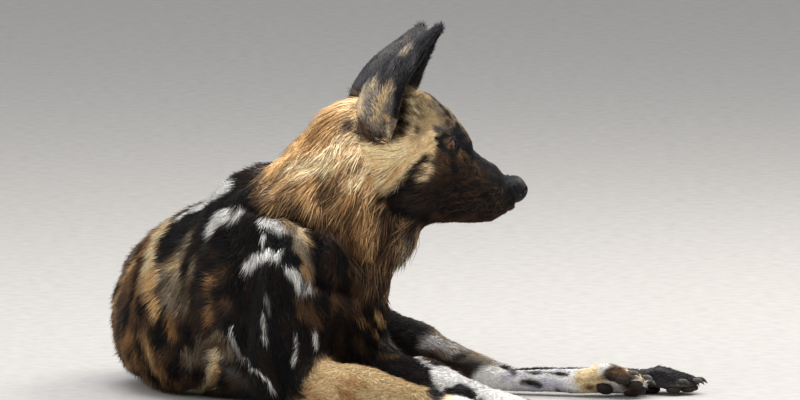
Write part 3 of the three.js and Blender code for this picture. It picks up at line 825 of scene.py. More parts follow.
# Light hair, dark hair and how much of the light shows, for the coat of each length of the body
grounds = {
    "head": ("brown", "brownBlack", 0.0), "ear_right": ("ash", "ink", 0.2), "ear_left": ("ash", "ink", 0.2),
    "neck": ("tan", "brown", 0.4), "foreleg_right_upper": ("brownBlack", "black", -0.3),
    "foreleg_right_lower": ("tan", "ochre", 0.8), "foreleg_right_foot": ("white", "cream", 0.5),
    "foreleg_left_upper": ("brown", "black", -0.4), "foreleg_left_lower": ("brown", "black", -0.4),
    "foreleg_left_foot": ("white", "cream", 0.8), "hindleg_left_upper": ("brown", "black", -0.3),
    "hindleg_left_lower": ("greyTan", "ash", 0.2), "hindleg_left_foot": ("white", "cream", 0.8),
    "hindleg_right_upper": ("ochre", "black", -0.2), "hindleg_right_lower": ("brown", "black", -0.6),
    "hindleg_right_foot": ("ash", "black", -0.2), "chest": ("brown", "black", -0.6),
    "loin": ("ochre", "black", -0.3), "pelvis": ("tan", "black", -0.1), "tail_base": ("tan", "ochre", 0.3),
    "tail_middle": ("ash", "black", -0.5), "tail_tip": ("white", "cream", 1.2),
}

# Marks in painting order: light hair, dark hair, share of the light, reach, softness and where they run
marks = [
    # back and flank
    ("greyTan", "brown", 0.5, 26, 10, [(166, 222), (146, 240), (130, 262), (120, 284)]),
    ("greyTan", "darkBrown", 0.3, 22, 10, [(186, 238), (172, 258), (164, 280), (178, 296)]),
    ("sand", "greyTan", 0.5, 9, 7, [(172, 262), (180, 276), (186, 290)]),
    ("cream", "tan", 0.8, 15, 8, [(172, 222), (162, 238), (155, 256), (152, 276)]),
    ("gold", "tan", 0.3, 9, 6, [(152, 278), (154, 294), (158, 308)]),
    ("brown", "black", 0.0, 16, 8, [(114, 296), (128, 302), (138, 318)]),
    ("gold", "ochre", 0.2, 6, 5, [(138, 262), (126, 284), (118, 306)]),
    ("darkBrown", "black", 0.0, 26, 10, [(202, 258), (194, 288), (208, 318), (198, 340)]),
    ("greyTan", "brown", 0.3, 6, 6, [(196, 262), (190, 290), (186, 314)]),
    ("ochre", "brown", 0.1, 5, 5, [(210, 280), (212, 306), (206, 330)]),
    ("ochre", "black", 0.1, 27, 12, [(122, 340), (138, 362), (160, 372)]),
    ("tan", "ochre", 0.3, 8, 6, [(146, 332), (152, 350), (158, 366)]),
    ("tan", "ochre", 0.2, 7, 5, [(124, 346), (136, 370), (150, 384)]),
    ("ochre", "brown", 0.5, 6, 5, [(126, 318), (124, 334)]),
    ("ochre", "darkBrown", 0.2, 6, 5, [(172, 316), (174, 334)]),
    ("brownBlack", "black", 0.0, 12, 7, [(178, 372), (200, 368)]),
    ("greyTan", "brown", 0.5, 11, 6, [(190, 360), (204, 350), (222, 343), (230, 352)]),
    ("grey", "brownBlack", 0.4, 10, 6, [(228, 362), (240, 372), (250, 382)]),
    ("cream", "tan", 0.5, 6, 4, [(219, 354), (216, 368), (211, 381), (200, 388), (190, 389)]),
    ("brownBlack", "black", 0.0, 8, 5, [(228, 390), (262, 394)]),
    # withers and shoulder
    ("black", "brownBlack", 0.2, 24, 8,
     [(268, 166), (250, 178), (232, 192), (212, 206), (190, 224), (172, 242)]),
    ("ash", "tan", 0.1, 6, 5, [(262, 170), (272, 188), (266, 200)]),
    ("black", "brownBlack", 0.3, 30, 9, [(206, 226), (226, 238), (250, 236)]),
    ("white", "white", 1.0, 12, 3, [(228, 190), (217, 197), (204, 206)]),
    ("white", "grey", 0.9, 9, 3, [(200, 208), (187, 216)]),
    ("white", "grey", 0.7, 4.5, 3, [(206, 208), (197, 212)]),
    ("white", "grey", 1.0, 7.5, 3, [(240, 215), (228, 216), (218, 223), (212, 232)]),
    ("grey", "ash", 0.3, 3, 3, [(211, 240), (207, 250)]),
    ("black", "brownBlack", 0.3, 40, 8, [(250, 252), (256, 290), (262, 330), (280, 370)]),
    ("black", "brownBlack", 0.3, 26, 8, [(292, 300), (300, 330), (298, 352)]),
    ("white", "grey", 1.0, 8, 3, [(266, 224), (276, 226), (284, 232)]),
    ("greyTan", "tan", 0.4, 7, 4, [(282, 221), (292, 229), (299, 241), (302, 254), (308, 270), (314, 286)]),
    ("cream", "tan", 0.4, 6, 5, [(304, 236), (311, 244)]),
    ("white", "grey", 0.9, 3, 2, [(264, 236), (263, 248)]),
    ("white", "white", 1.0, 6.5, 2.5, [(247, 267), (255, 261), (266, 255), (278, 256)]),
    ("white", "grey", 0.9, 6.5, 2.5, [(291, 271), (297, 280), (303, 288)]),
    ("black", "black", 0, 12, 2, [(279, 244), (283, 243)]),
    ("black", "black", 0, 9, 2, [(290, 260), (294, 261)]),
    ("brown", "black", -0.3, 9, 7, [(292, 304), (300, 312), (318, 320)]),
    ("grey", "ash", 0.6, 1.6, 2, [(268, 300), (270, 312)]),
    ("grey", "white", 0.2, 2.4, 2, [(263, 316), (266, 330), (267, 344)]),
    ("white", "grey", 1.0, 2.8, 1.5, [(295, 337), (296, 348), (295, 360)]),
    ("white", "grey", 0.8, 2.8, 2, [(315, 335), (317, 347)]),
    ("white", "grey", 0.9, 2.4, 1.5,
     [(231, 330), (234, 342), (243, 356), (258, 369), (270, 381), (275, 390)]),
    # neck and ruff
    ("gold", "tan", 0.7, 22, 7, [(346, 104), (320, 134), (298, 150), (288, 160)]),
    ("gold", "ochre", 0.3, 9, 6, [(338, 122), (322, 134), (300, 146)]),
    ("cream", "gold", 0.3, 11, 6, [(350, 106), (347, 130), (344, 154), (318, 164), (298, 166)]),
    ("tan", "brown", 0.15, 24, 9, [(314, 194), (340, 200), (352, 224), (362, 250)]),
    ("cream", "tan", 0.9, 5, 5, [(330, 168), (310, 173), (295, 181), (284, 192)]),
    ("tan", "greyTan", 0.3, 6, 5, [(262, 202), (280, 203), (292, 196)]),
    ("brown", "darkBrown", 0.0, 8, 6, [(322, 184), (330, 196), (338, 206)]),
    ("tan", "brown", 0.2, 13, 8, [(284, 194), (302, 190), (318, 190)]),
    # Painted shadow: the next three marks darken the crease where the ruff hangs over the shoulder and runs
    # down to the chest
    ("brown", "darkBrown", 0.1, 9, 6, [(262, 204), (286, 206), (306, 210), (320, 220)]),
    ("brownBlack", "black", 0.0, 5, 4, [(247, 205), (262, 211), (286, 213), (306, 219), (316, 228)]),
    ("darkBrown", "black", 0.0, 12, 7, [(322, 240), (322, 262), (328, 284), (346, 288)]),
    ("cream", "gold", 0.4, 23, 7, [(370, 158), (392, 158), (410, 152)]),
    ("cream", "tan", 0.4, 14, 7, [(360, 176), (372, 188), (390, 182)]),
    ("ochre", "brown", 0.3, 11, 7, [(352, 206), (350, 226), (362, 240)]),
    ("tan", "brown", 0.4, 8, 6, [(366, 206), (370, 224), (366, 246)]),
    ("brown", "darkBrown", 0.1, 14, 8, [(386, 206), (394, 226), (388, 250)]),
    ("greyTan", "darkBrown", -0.1, 12, 7, [(404, 232), (404, 252), (392, 274)]),
    ("brown", "brownBlack", 0.0, 14, 8, [(350, 262), (366, 276), (380, 284)]),
    ("brown", "darkBrown", 0.3, 7, 5, [(330, 297), (346, 300), (364, 298)]),
    # brow, cheek and muzzle
    ("sand", "greyTan", 0.9, 20, 8, [(416, 96), (430, 114), (428, 138)]),
    ("greyTan", "brown", 0.4, 5, 6, [(428, 102), (440, 114)]),
    ("brown", "brownBlack", 0.2, 5, 4, [(403, 98), (404, 116), (401, 134)]),
    ("cream", "sand", 0.3, 6, 4, [(414, 92), (414, 112), (412, 132)]),
    ("cream", "gold", 0.3, 9, 5, [(434, 138), (426, 152), (412, 166), (398, 180)]),
    ("brownBlack", "black", 0.2, 8, 3, [(430, 168), (418, 176), (402, 192), (388, 200)]),
    ("brownBlack", "black", 0.3, 4, 3, [(427, 157), (418, 166), (410, 174)]),
    ("cream", "ochre", 0.2, 5.5, 5, [(431, 170), (424, 177)]),
    ("brown", "brownBlack", 0.2, 8, 5, [(441, 152), (442, 166)]),
    ("darkBrown", "black", -0.15, 26, 7, [(500, 194), (470, 198), (440, 198), (420, 204)]),
    ("brown", "black", -0.55, 16, 8, [(492, 196), (466, 196), (450, 204)]),
    ("ink", "black", 0.3, 11, 5, [(514, 182), (492, 170), (472, 155), (458, 144)]),
    ("black", "black", 0.0, 5, 3, [(440, 138), (448, 133), (458, 133), (460, 146)]),
    ("black", "ink", 0.0, 4.5, 3, [(440, 142), (446, 151), (454, 156), (455, 170)]),
    ("grey", "brownBlack", 0.2, 4, 3, [(438, 130), (448, 127), (456, 130)]),
    ("greyTan", "brown", 0.3, 15, 7, [(444, 108), (454, 120)]),
    ("darkBrown", "black", 0.0, 2.6, 3, [(418, 84), (430, 94), (442, 107), (452, 119), (462, 130)]),
    ("ink", "black", 0.1, 9, 4, [(457, 132), (466, 146), (476, 155)]),
    ("tan", "darkBrown", 0.0, 4, 4, [(463, 157), (468, 162)]),
    ("brown", "black", -0.2, 9, 7, [(466, 166), (478, 170), (474, 178)]),
    ("black", "brownBlack", 0.0, 12, 6, [(394, 204), (410, 211), (424, 217)]),
    ("brown", "darkBrown", 0.2, 5, 4, [(434, 228), (428, 234)]),
    # legs
    ("sand", "ochre", 0.7, 28, 6, [(330, 382), (350, 374), (385, 388), (420, 398)]),
    ("sand", "tan", 0.9, 14, 8, [(330, 366), (360, 376), (390, 386)]),
    ("black", "brownBlack", 0.0, 6, 4, [(352, 356), (378, 364), (404, 376), (430, 384)]),
    ("black", "ash", 0.0, 9, 3, [(426, 388), (438, 396)]),
    ("tan", "black", 0.0, 8, 5, [(350, 312), (366, 328), (390, 346)]),
    ("black", "brownBlack", 0.1, 22, 6, [(360, 318), (384, 338), (412, 358), (436, 366)]),
    ("tan", "brown", 0.3, 3, 3, [(352, 316), (368, 324), (378, 340)]),
    ("tan", "brown", 0.3, 3, 3, [(374, 314), (384, 330), (398, 350)]),
    ("tan", "brown", 0.0, 2.4, 2, [(394, 336), (410, 352), (424, 362)]),
    ("brown", "darkBrown", 0.4, 8, 6, [(342, 302), (352, 310), (360, 298)]),
    ("white", "grey", 0.9, 2.4, 1.5, [(384, 324), (391, 343), (408, 355), (436, 369)]),
    ("white", "white", 1.0, 24, 4, [(452, 376), (480, 386), (508, 394)]),
    ("ash", "black", 0.0, 6, 2.5, [(460, 389), (474, 397)]),
    ("ash", "black", 0.0, 2.6, 2, [(446, 390), (452, 392)]),
    ("black", "brownBlack", 0.0, 22, 6, [(390, 318), (404, 328), (420, 344)]),
    ("pale", "greyTan", 0.3, 17, 7, [(438, 342), (464, 348), (492, 359), (508, 366)]),
    ("greyTan", "darkBrown", 0.0, 7, 5, [(432, 357), (452, 366), (470, 372)]),
    ("ash", "black", 0.0, 3.5, 3, [(457, 357), (463, 357)]),
    ("ash", "black", 0.0, 3.5, 3, [(505, 368), (512, 372)]),
    ("lavender", "white", 0.3, 16, 4, [(516, 382), (540, 384), (572, 382)]),
    ("ash", "black", 0.0, 3.5, 2.5, [(504, 368), (514, 374)]),
    ("ash", "black", 0.0, 4, 2.5, [(524, 382), (539, 385)]),
    ("ash", "black", 0.0, 1.8, 2, [(524, 372), (548, 373), (568, 375)]),
    ("brown", "ash", 0.2, 3, 3, [(518, 397), (570, 397)]),
    ("cream", "sand", 0.6, 15, 6, [(588, 378), (594, 390)]),
    ("ochre", "brown", 0.5, 3.2, 2.5, [(589, 387), (592, 388)]),
    ("brown", "brownBlack", 0.1, 13, 4, [(613, 374), (622, 378), (630, 386), (640, 392)]),
    ("darkBrown", "brownBlack", 0.0, 9, 4, [(636, 374), (646, 380), (652, 388)]),
    ("cream", "ochre", 0.0, 3, 3, [(628, 371), (637, 375), (642, 382)]),
    ("ash", "black", 0.0, 22, 5, [(658, 386), (680, 388), (696, 394)]),
    ("greyTan", "ash", 0.3, 4, 3, [(680, 381), (690, 384)]),
]

# The marks of the ears alone
earMarks = [
    ("ink", "black", 0.2, 40, 8, [(436, 34), (414, 56), (394, 78)]),
    ("ash", "black", 0.1, 18, 8, [(404, 66), (384, 84), (372, 92)]),
    ("greyTan", "ash", 0.5, 24, 10, [(368, 104), (374, 116), (384, 120)]),
    ("sand", "grey", 0.0, 13, 9, [(388, 98), (378, 106), (366, 112)]),
    ("brown", "brownBlack", 0.1, 11, 5, [(364, 128), (372, 138), (380, 142)]),
    ("cream", "tan", 0.2, 2.6, 2.5, [(387, 118), (388, 130), (390, 142)]),
    ("brownBlack", "black", 0.0, 4, 2, [(408, 76), (399, 94), (396, 114), (393, 134)]),
    ("greyTan", "ash", -0.4, 5, 5, [(410, 40), (406, 50)]),
    ("ink", "black", 0.1, 12, 5, [(392, 40), (372, 60), (350, 84)]),
]


def twoHairs(light, dark, share, streak):
    mix = step(streak + share, -0.7, 0.7)[:, None]
    return colours[dark] * (1 - mix) + colours[light] * mix


paintedMarks = [(*look, strokeLine(skinSurface, line), where) for group, where in ((marks, 0), (earMarks, 1))
                for *look, line in group]
earShare = nodeShare(("ear_right", "ear_left"), 1)


# The head's left side carries the marks of its right
def mirrored(points, onHead):
    inHead = toHead(points)
    inHead[:, 1] = -np.abs(inHead[:, 1])
    return np.where(onHead[:, None] > 0.5, fromHead(inHead), points)


def paint(points, ground, streak, edge, ear, onHead):
    colour = ground.copy()
    points = mirrored(points, onHead)
    for light, dark, share, reach, soft, line, where in paintedMarks:
        margin = reach + 3 * soft
        near = np.all((points > line.min(0) - margin) & (points < line.max(0) + margin), axis=1)
        near = np.flatnonzero(near)
        if not len(near):
            continue
        gap = lineGap(points[near], line) + edge[near] * soft * 0.6
        cover = step(-gap, -reach - soft, -reach + soft)[:, None]
        cover = cover * (ear[near] if where else 1 - ear[near])[:, None]
        colour[near] += cover * (twoHairs(light, dark, share, streak[near]) - colour[near])
    return colour


skinGround = np.zeros_like(skinModel)
for index, name in enumerate(nodeNames):
    here = skinNode == index
    skinGround[here] = twoHairs(*grounds[name], noise["streak"][here])
skinGround = evenOut(skinGround, skinEdges, 2)
# Sides that the view does not show have the species' loose blotches: white, tan and black
hiddenLook = {"white": 1.15, "tan": -0.75, "soft": 0.09, "turned": (0.0, 0.35), "edge": 0.13, "wave": 0.1}
bodyNodes = [nodeNames.index(name) for name in nodeNames if "leg" in name or name in trunkNodes]
away = step(skinNormal[:, 1], *hiddenLook["turned"]) * np.isin(skinNode, bodyNodes)
blotch = noise["blotch"] + noise["edge"] * hiddenLook["edge"] + noise["wave"] * hiddenLook["wave"]
soft = hiddenLook["soft"]
tanCover = away * step(-blotch, -hiddenLook["tan"] - soft, -hiddenLook["tan"] + soft)
whiteCover = away * step(blotch, hiddenLook["white"] - soft, hiddenLook["white"] + soft)
for light, dark, share, cover in (("black", "brownBlack", 0.0, away), ("tan", "ochre", 0.3, tanCover),
                                  ("white", "cream", 0.9, whiteCover)):
    skinGround += cover[:, None] * (twoHairs(light, dark, share, noise["streak"]) - skinGround)
onFace = nodeShare(("head",), 1)
skinColour = paint(skinModel, skinGround, noise["streak"], noise["edge"], earShare, onFace)


def colourAttribute(mesh, values):
    layer = mesh.color_attributes.new("coat", "FLOAT_COLOR", "POINT")
    opaque = np.concatenate([values, np.ones((len(values), 1))], 1)
    layer.data.foreach_set("color", opaque.astype(np.float32).ravel())


# The skin under the coat is painted four fifths as bright, as painted shade beneath the hair
colourAttribute(skin.data, skinColour * 0.8)
print("markings")


def hairFinish(name, scale, bumpDepth, fixed):
    material, tree, shader = finish(name, fixed)
    painted = node(tree, "ShaderNodeAttribute", {"attribute_name": "coat"}, output="Color")
    spot = node(tree, "ShaderNodeTexCoord", output="Object")
    grain = node(tree, "ShaderNodeTexNoise", {},
                 {"Vector": spot, "Scale": scale, "Detail": 3.0, "Roughness": 0.6})
    shade = node(tree, "ShaderNodeMapRange", {},
                 {"Value": grain, "From Min": 0.3, "From Max": 0.7, "To Min": 0.78, "To Max": 1.2})
    colour = node(tree, "ShaderNodeVectorMath", {"operation": "SCALE"}, {"Vector": painted, "Scale": shade})
    feed(tree, shader, Base_Color=colour)
    if bumpDepth:
        bump = node(tree, "ShaderNodeBump", {}, {"Height": grain, "Strength": 0.6, "Distance": bumpDepth})
        feed(tree, shader, Normal=bump)
    return material


skinFinish = hairFinish("short_hair", 900.0, 0.0006, {"Roughness": 0.75, "Specular IOR Level": 0.25})
tuftFinish = hairFinish("coat_hair", 300.0, 0, {"Roughness": 0.6, "Specular IOR Level": 0.22})
skin.data.materials.clear()
skin.data.materials.append(skinFinish)

# Length, width and lift of the hair over each length of the body, and tufts to a square millimetre
hair = {
    "head": (9, 1.1, 0.22, 0.55), "ear": (8, 1.0, 0.3, 0.5), "neck": (38, 1.3, 0.17, 0.33),
    "foot": (6, 1.0, 0.2, 0.3), "lower": (10, 1.1, 0.2, 0.34), "upper": (16, 1.35, 0.22, 0.3),
    "body": (20, 1.4, 0.22, 0.3), "tail": (46, 1.8, 0.35, 0.24),
}
# On the head the hair grows longer and wider from the nose back
headHair = {"from": (-30, 0, 30, 60, 110), "length": (24, 16, 9, 4.5, 2.6),
            "width": (1.4, 1.2, 0.9, 0.75, 0.6), "density": (0.36, 0.45, 0.7, 1.0, 1.3),
            "cheek": 1.45, "crown": 0.6}
skinRegion = np.array([regionOf(name) for name in nodeNames])[skinNode]
hairSizes = np.array([hair[name] for name in regions])[skinRegion]
skinHead = toHead(skinModel)
onHead = skinRegion == regions.index("head")
for column, key in ((0, "length"), (1, "width"), (3, "density")):
    hairSizes[onHead, column] = np.interp(skinHead[onHead, 0], headHair["from"], headHair[key])
crown = step(skinHead[onHead, 2], 262, 318)
hairSizes[onHead, 0] *= headHair["cheek"] + (headHair["crown"] - headHair["cheek"]) * crown
hairSizes = evenOut(hairSizes, skinEdges, 16)
# No hair grows between the lids
bare = np.ones(len(skinAt))
for side in (-1, 1):
    offset = skinHead - eyeAt(side)
    gap, out = lidGap(offset, side)
    bare[(np.linalg.norm(offset, axis=1) < 24) & (out > 0) & (gap < 1.2)] = 0
corner = skinAt[skinTris]
skinArea = np.linalg.norm(np.cross(corner[:, 1] - corner[:, 0], corner[:, 2] - corner[:, 0]), axis=1) * 0.5e6
skinUv = np.zeros(len(skin.data.loops) * 2)
skin.data.uv_layers["OFBake"].data.foreach_get("uv", skinUv)
loopOf = np.zeros(len(skin.data.loop_triangles) * 3, np.int32)
skin.data.loop_triangles.foreach_get("loops", loopOf)
skinUv = skinUv.reshape(-1, 2)[loopOf.reshape(-1, 3)]


# Roots: the triangle that each lies in, and where in it
def sow(share, density):
    weight = share[skinTris].mean(1) * density[skinTris].mean(1) * skinArea
    count = np.floor(weight + rng.random(len(weight))).astype(int)
    tri = np.repeat(np.arange(len(weight)), count)
    a, b = rng.random((2, len(tri)))
    flip = a + b > 1
    a[flip], b[flip] = 1 - a[flip], 1 - b[flip]
    return tri, np.stack([1 - a - b, a, b], -1)


def carried(values, tri, bary):
    picked = values[skinTris[tri]]
    if picked.ndim == 2:
        return np.sum(picked * bary, -1)
    return np.sum(picked * bary[..., None], 1)


# A spot for each cell of space, scattered by a fixed rule, that the tufts in the cell lean to
scatter = np.array([[12.9898, 78.233, 37.719], [39.346, 11.135, 83.155], [73.156, 52.235, 9.151]])


def cellJitter(points, size):
    cell = np.floor(points / size)
    mix = np.sin(cell @ scatter) * 43758.5453
    return (cell + mix - np.floor(mix)) * size


# How tufts differ: the turn off the lie, sizes, lift, and the shares of the length and the width used
tuft = {"waveTurn": 0.22, "turn": 0.16, "length": (0.7, 1.2), "width": (0.7, 1.25), "waveLift": 0.06,
        "lift": 0.07, "liftLimits": (0.06, 0.9), "colourAt": 0.45, "edge": 0.2, "shade": (0.86, 1.16),
        "thick": 0.3, "sunk": 0.8, "pieceLimit": 196000}
# Where a long tuft bends
bend = {"at": 0.5, "rise": 0.62, "pull": 0.4, "tipDrop": 0.25, "width": 0.9, "under": 0.5, "over": 0.8}
# Faces of a tuft, and for its points from root to tip the painted shade, dark at the root as if shaded by the
# coat with a painted highlight at the tip, and the spot in the texture patch
blade = {
    "straight": [(0, 2, 1), (0, 1, 3), (0, 3, 2), (1, 2, 3)],
    "bent": [(0, 2, 1), (0, 1, 4), (0, 4, 3), (1, 2, 5), (1, 5, 4), (2, 0, 3), (2, 3, 5), (3, 4, 6),
             (4, 5, 6), (5, 3, 6)],
    "paintedShades": [0.78, 0.78, 0.87, 0.9, 0.9, 1.0], "tipPaintedHighlight": 1.13,
    "patch": [(-0.0015, -0.0015), (0.0015, -0.0015), (0, 0.0003), (-0.001, 0), (0.001, 0), (0, 0.0006)],
    "tipPatch": (0, 0.0015),
}


# Tufts rooted in the skin: short ones are one blade, long ones bend once and taper to the tip
def growCoat(name, share, clump, gather, bent=False, speckle=0.4):
    tri, bary = sow(share, hairSizes[:, 3])
    points = carried(skinModel, tri, bary)
    normal = unit(carried(skinNormal, tri, bary))
    flow = alongSurface(carried(skinFlow, tri, bary), normal)
    length, width, lift, _ = carried(hairSizes, tri, bary).T
    wave, raised = carried(noise["wave"], tri, bary), carried(noise["lift"], tri, bary)
    count = len(tri)
    side = np.cross(normal, flow)
    yaw = wave * tuft["waveTurn"] + rng.normal(0, tuft["turn"], count)
    flow = unit(flow * np.cos(yaw)[:, None] + side * np.sin(yaw)[:, None])
    side = np.cross(normal, flow)
    length = length * rng.uniform(*tuft["length"], count)
    width = width * rng.uniform(*tuft["width"], count)
    lift = np.clip(lift + raised * tuft["waveLift"] + rng.normal(0, tuft["lift"], count), *tuft["liftLimits"])
    pull = cellJitter(points, clump) - points
    pull = (pull - normal * np.sum(pull * normal, -1, keepdims=True)) * gather
    streak = carried(noise["streak"], tri, bary) + rng.normal(0, speckle, count)
    edge = carried(noise["edge"], tri, bary) + rng.normal(0, tuft["edge"], count)
    colour = paint(points + flow * (length * tuft["colourAt"])[:, None], carried(skinGround, tri, bary),
                   streak, edge, carried(earShare, tri, bary), carried(onFace, tri, bary))
    colour = colour * rng.uniform(*tuft["shade"], (count, 1))
    tip = points + flow * (np.cos(lift) * length)[:, None] + normal * (np.sin(lift) * length)[:, None] + pull
    half, thick = (width / 2)[:, None], (width * tuft["thick"])[:, None]
    sunk = normal * tuft["sunk"]
    rings = [points - side * half - sunk, points + side * half - sunk, points + normal * thick - sunk * 0.2]
    if bent:
        rise = normal * (np.sin(lift) * length * bend["rise"])[:, None]
        middle = points + flow * (length * bend["at"])[:, None] + rise + pull * bend["pull"]
        tip -= normal * (np.sin(lift) * length * bend["tipDrop"])[:, None]
        aside, under = side * half * bend["width"], normal * thick * bend["under"]
        rings += [middle - aside - under, middle + aside - under, middle + normal * thick * bend["over"]]
    verts = np.stack(rings + [tip], 1)
    verts[..., 2] = np.maximum(verts[..., 2], 0.5 + 0.4 * rng.random((count, 1)))
    per = verts.shape[1]
    blades = np.array(blade["bent" if bent else "straight"])
    paintedShades = np.array(blade["paintedShades"][:per - 1] + [blade["tipPaintedHighlight"]])
    patch = np.array(blade["patch"][:per - 1] + [blade["tipPatch"]])
    roots = np.sum(skinUv[tri] * bary[..., None], 1)
    most = tuft["pieceLimit"] // len(blades)
    order = np.argsort(points[:, 1], kind="stable") if count > most else np.arange(count)
    parts = np.array_split(order, max(math.ceil(count / most), 1))
    for number, part in enumerate(parts):
        faces = (blades[None] + (np.arange(len(part)) * per)[:, None, None]).reshape(-1, 3)
        title = name if len(parts) == 1 else f"{name}_{number + 1}"
        piece = meshObject(title, place(verts[part].reshape(-1, 3)), faces)
        # Each point takes the tuft's colour times its painted shade: darker at the root, a painted highlight
        # at the tip
        colourAttribute(piece.data, (colour[part][:, None] * paintedShades[None, :, None]).reshape(-1, 3).clip(0, 1))
        uv = piece.data.uv_layers.new(name="OFBake")
        spots = (roots[part][:, None] + patch[None]).reshape(-1, 2)
        uv.data.foreach_set("uv", spots[faces.ravel()].astype(np.float32).ravel())
        piece.data.materials.append(tuftFinish)
        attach(piece, "root")
    print(name, count, "tufts in", len(parts))


def regionShare(*names):
    wanted = np.isin(skinRegion, [regions.index(name) for name in names]).astype(float)
    return evenOut(wanted, skinEdges, 3)


# Eyes: a ball with the cornea raised over an amber iris
eyeLook = {"iris": 6.0, "pupil": 1.5, "bulge": 0.8, "look": (0.42, 0.9, 0.02)}


def eyeFinish(name, middle, look):
    material, tree, shader = finish(name, {"Coat Weight": 0.45, "Coat Roughness": 0.03, "Roughness": 0.15,
                                           "Specular IOR Level": 0.2})
    spot = node(tree, "ShaderNodeTexCoord", output="Object")
    offset = node(tree, "ShaderNodeVectorMath", {"operation": "SUBTRACT"}, [spot, tuple(middle)])
    aside = node(tree, "ShaderNodeVectorMath", {"operation": "CROSS_PRODUCT"}, [offset, tuple(look)])
    gap = node(tree, "ShaderNodeVectorMath", {"operation": "LENGTH"}, [aside], output="Value")
    fibre = node(tree, "ShaderNodeTexNoise", {}, {"Vector": offset, "Scale": 900.0, "Detail": 3.0})
    reach = gap * (1000 / eyes["radius"]) + (fibre - 0.5) * 0.05
    pupil, iris = eyeLook["pupil"] / eyes["radius"], eyeLook["iris"] / eyes["radius"]
    amber, black = tuple(colours["amber"]), tuple(colours["black"] * 0.5)
    stops = [(0.0, black), (pupil, black), (pupil + 0.04, tuple(colours["amber"] * 0.5)),
             (iris * 0.62, amber), (iris * 0.86, tuple(colours["amber"] * 0.45)), (iris, black),
             (1.0, tuple(colours["brownBlack"]))]
    feed(tree, shader, Base_Color=node(tree, "ShaderNodeValToRGB", {"ramp": stops}, [reach]))
    return material


def makeEye(name, side):
    middle = place(fromHead(eyeAt(side)))
    look = turnToHead @ unit(np.array(eyeLook["look"]) * (1, side, 1))
    bpy.ops.object.select_all(action="DESELECT")
    radius = eyes["radius"] / 1000
    bpy.ops.mesh.primitive_uv_sphere_add(segments=64, ring_count=48, radius=radius, location=middle)
    eye = newest()
    offset = (coords(eye) - middle) * 1000
    ahead = offset @ look
    aside = np.linalg.norm(offset - ahead[:, None] * look, axis=1)
    cornea = np.cos(np.clip(aside / (eyeLook["iris"] + 1), 0, 1) * math.pi / 2)
    cornea = cornea * (ahead > 0) * eyeLook["bulge"]
    setCoords(eye, middle + (offset + look * cornea[:, None]) / 1000)
    bpy.ops.object.shade_smooth()
    eye.name = name + "_ball"
    eye.data.materials.append(eyeFinish(name + "_wet", middle, look))
    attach(eye, "root")
    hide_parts(name)


print("eyes")
makeEye("eye_right", -1)
makeEye("eye_left", 1)


def leatherFinish(name, tone, cell, depth, fixed):
    material, tree, shader = finish(name, fixed)
    spot = node(tree, "ShaderNodeTexCoord", output="Object")
    pebble = node(tree, "ShaderNodeTexVoronoi", {}, {"Vector": spot, "Scale": cell, "Randomness": 0.8},
                  output="Distance")
    cloud = node(tree, "ShaderNodeTexNoise", {}, {"Vector": spot, "Scale": 120.0, "Detail": 4.0})
    dark, pale = tuple(colours[tone] * 0.7), tuple(colours[tone] * 1.5)
    colour = node(tree, "ShaderNodeValToRGB", {"ramp": [(0.3, dark), (0.7, pale)]}, [cloud])
    bump = node(tree, "ShaderNodeBump", {}, {"Height": pebble, "Strength": 0.5, "Distance": depth})
    feed(tree, shader, Base_Color=colour, Normal=bump, Roughness=cloud * 0.25 + fixed["Roughness"] - 0.12)
    return material


# Nose leather: nostrils that curl back into a slit, and a groove down the middle
def makeNose():
    bpy.ops.object.select_all(action="DESELECT")
    bpy.ops.mesh.primitive_uv_sphere_add(segments=160, ring_count=120, radius=1, rotation=(0, math.pi / 2, 0))
    piece = newest()
    middle, radii = np.array(nose["at"]), np.array(nose["radii"])
    sphere = coords(piece)
    points = middle + sphere * radii
    normal = unit(sphere / radii)
    flat = step(points[:, 2], middle[2] - 2, middle[2] + 9)
    flat = flat * step(points[:, 0], middle[0] + 4, middle[0] + 14)
    points[:, 0] -= nose["flat"] * flat
    for side in (-1, 1):
        marked = [(x, side * y, z) for x, y, z in nostrilMarks]
        line = np.array([curvePoint(marked, t) for t in np.linspace(0, 1, 26)])
        gaps = np.linalg.norm(points[:, None] - line[None], axis=2)
        nearest, gap = gaps.argmin(1), gaps.min(1)
        back = np.linspace(0, 1, len(line))[nearest]
        width = np.interp(back, nostril["widthAt"], nostril["width"])
        depth = np.interp(back, nostril["depthAt"], nostril["depth"])
        points -= normal * (depth * np.exp(-(gap / width) ** 2))[:, None]
        wing = np.exp(-((gap - width - nostril["wingFrom"]) / nostril["wingWidth"]) ** 2)
        wing = wing * step(points[:, 2], middle[2] - 4, middle[2] + 2)
        points += normal * (nostril["wing"] * wing)[:, None]
    front = (sphere[:, 0] > 0.2) * step(-points[:, 2], -middle[2] - 3, -middle[2] + 2)
    groove = nose["groove"] * np.exp(-(points[:, 1] / nose["grooveWidth"]) ** 2) * front
    points -= normal * groove[:, None]
    setCoords(piece, place(fromHead(points)))
    bpy.ops.object.shade_smooth()
    piece.name = "nose_leather"
    piece.data.materials.append(leatherFinish("nose_leather", "leather", 1100.0, 0.0004,
                                              {"Roughness": 0.48, "Specular IOR Level": 0.13}))
    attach(piece, "root")
    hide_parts("nose_pad")


print("nose")
makeNose()

# Feet: where the ball and the middle toe's tip are, the toes' spread and the roll of the sole
feet = {"foreleg_right": {"ball": (92, -150, 14), "tip": (120, -184, 11), "spread": 22, "roll": 0.0},
        "foreleg_left": {"ball": (142, -90, 12), "tip": (172, -128, 10), "spread": 21, "roll": 0.0},
        "hindleg_left": {"ball": (205, 190, 17), "tip": (262, 172, 18), "spread": 20, "roll": 0.5},
        "hindleg_right": {"ball": (256, 228, 13), "tip": (319, 210, 13), "spread": 20, "roll": 0.0}}
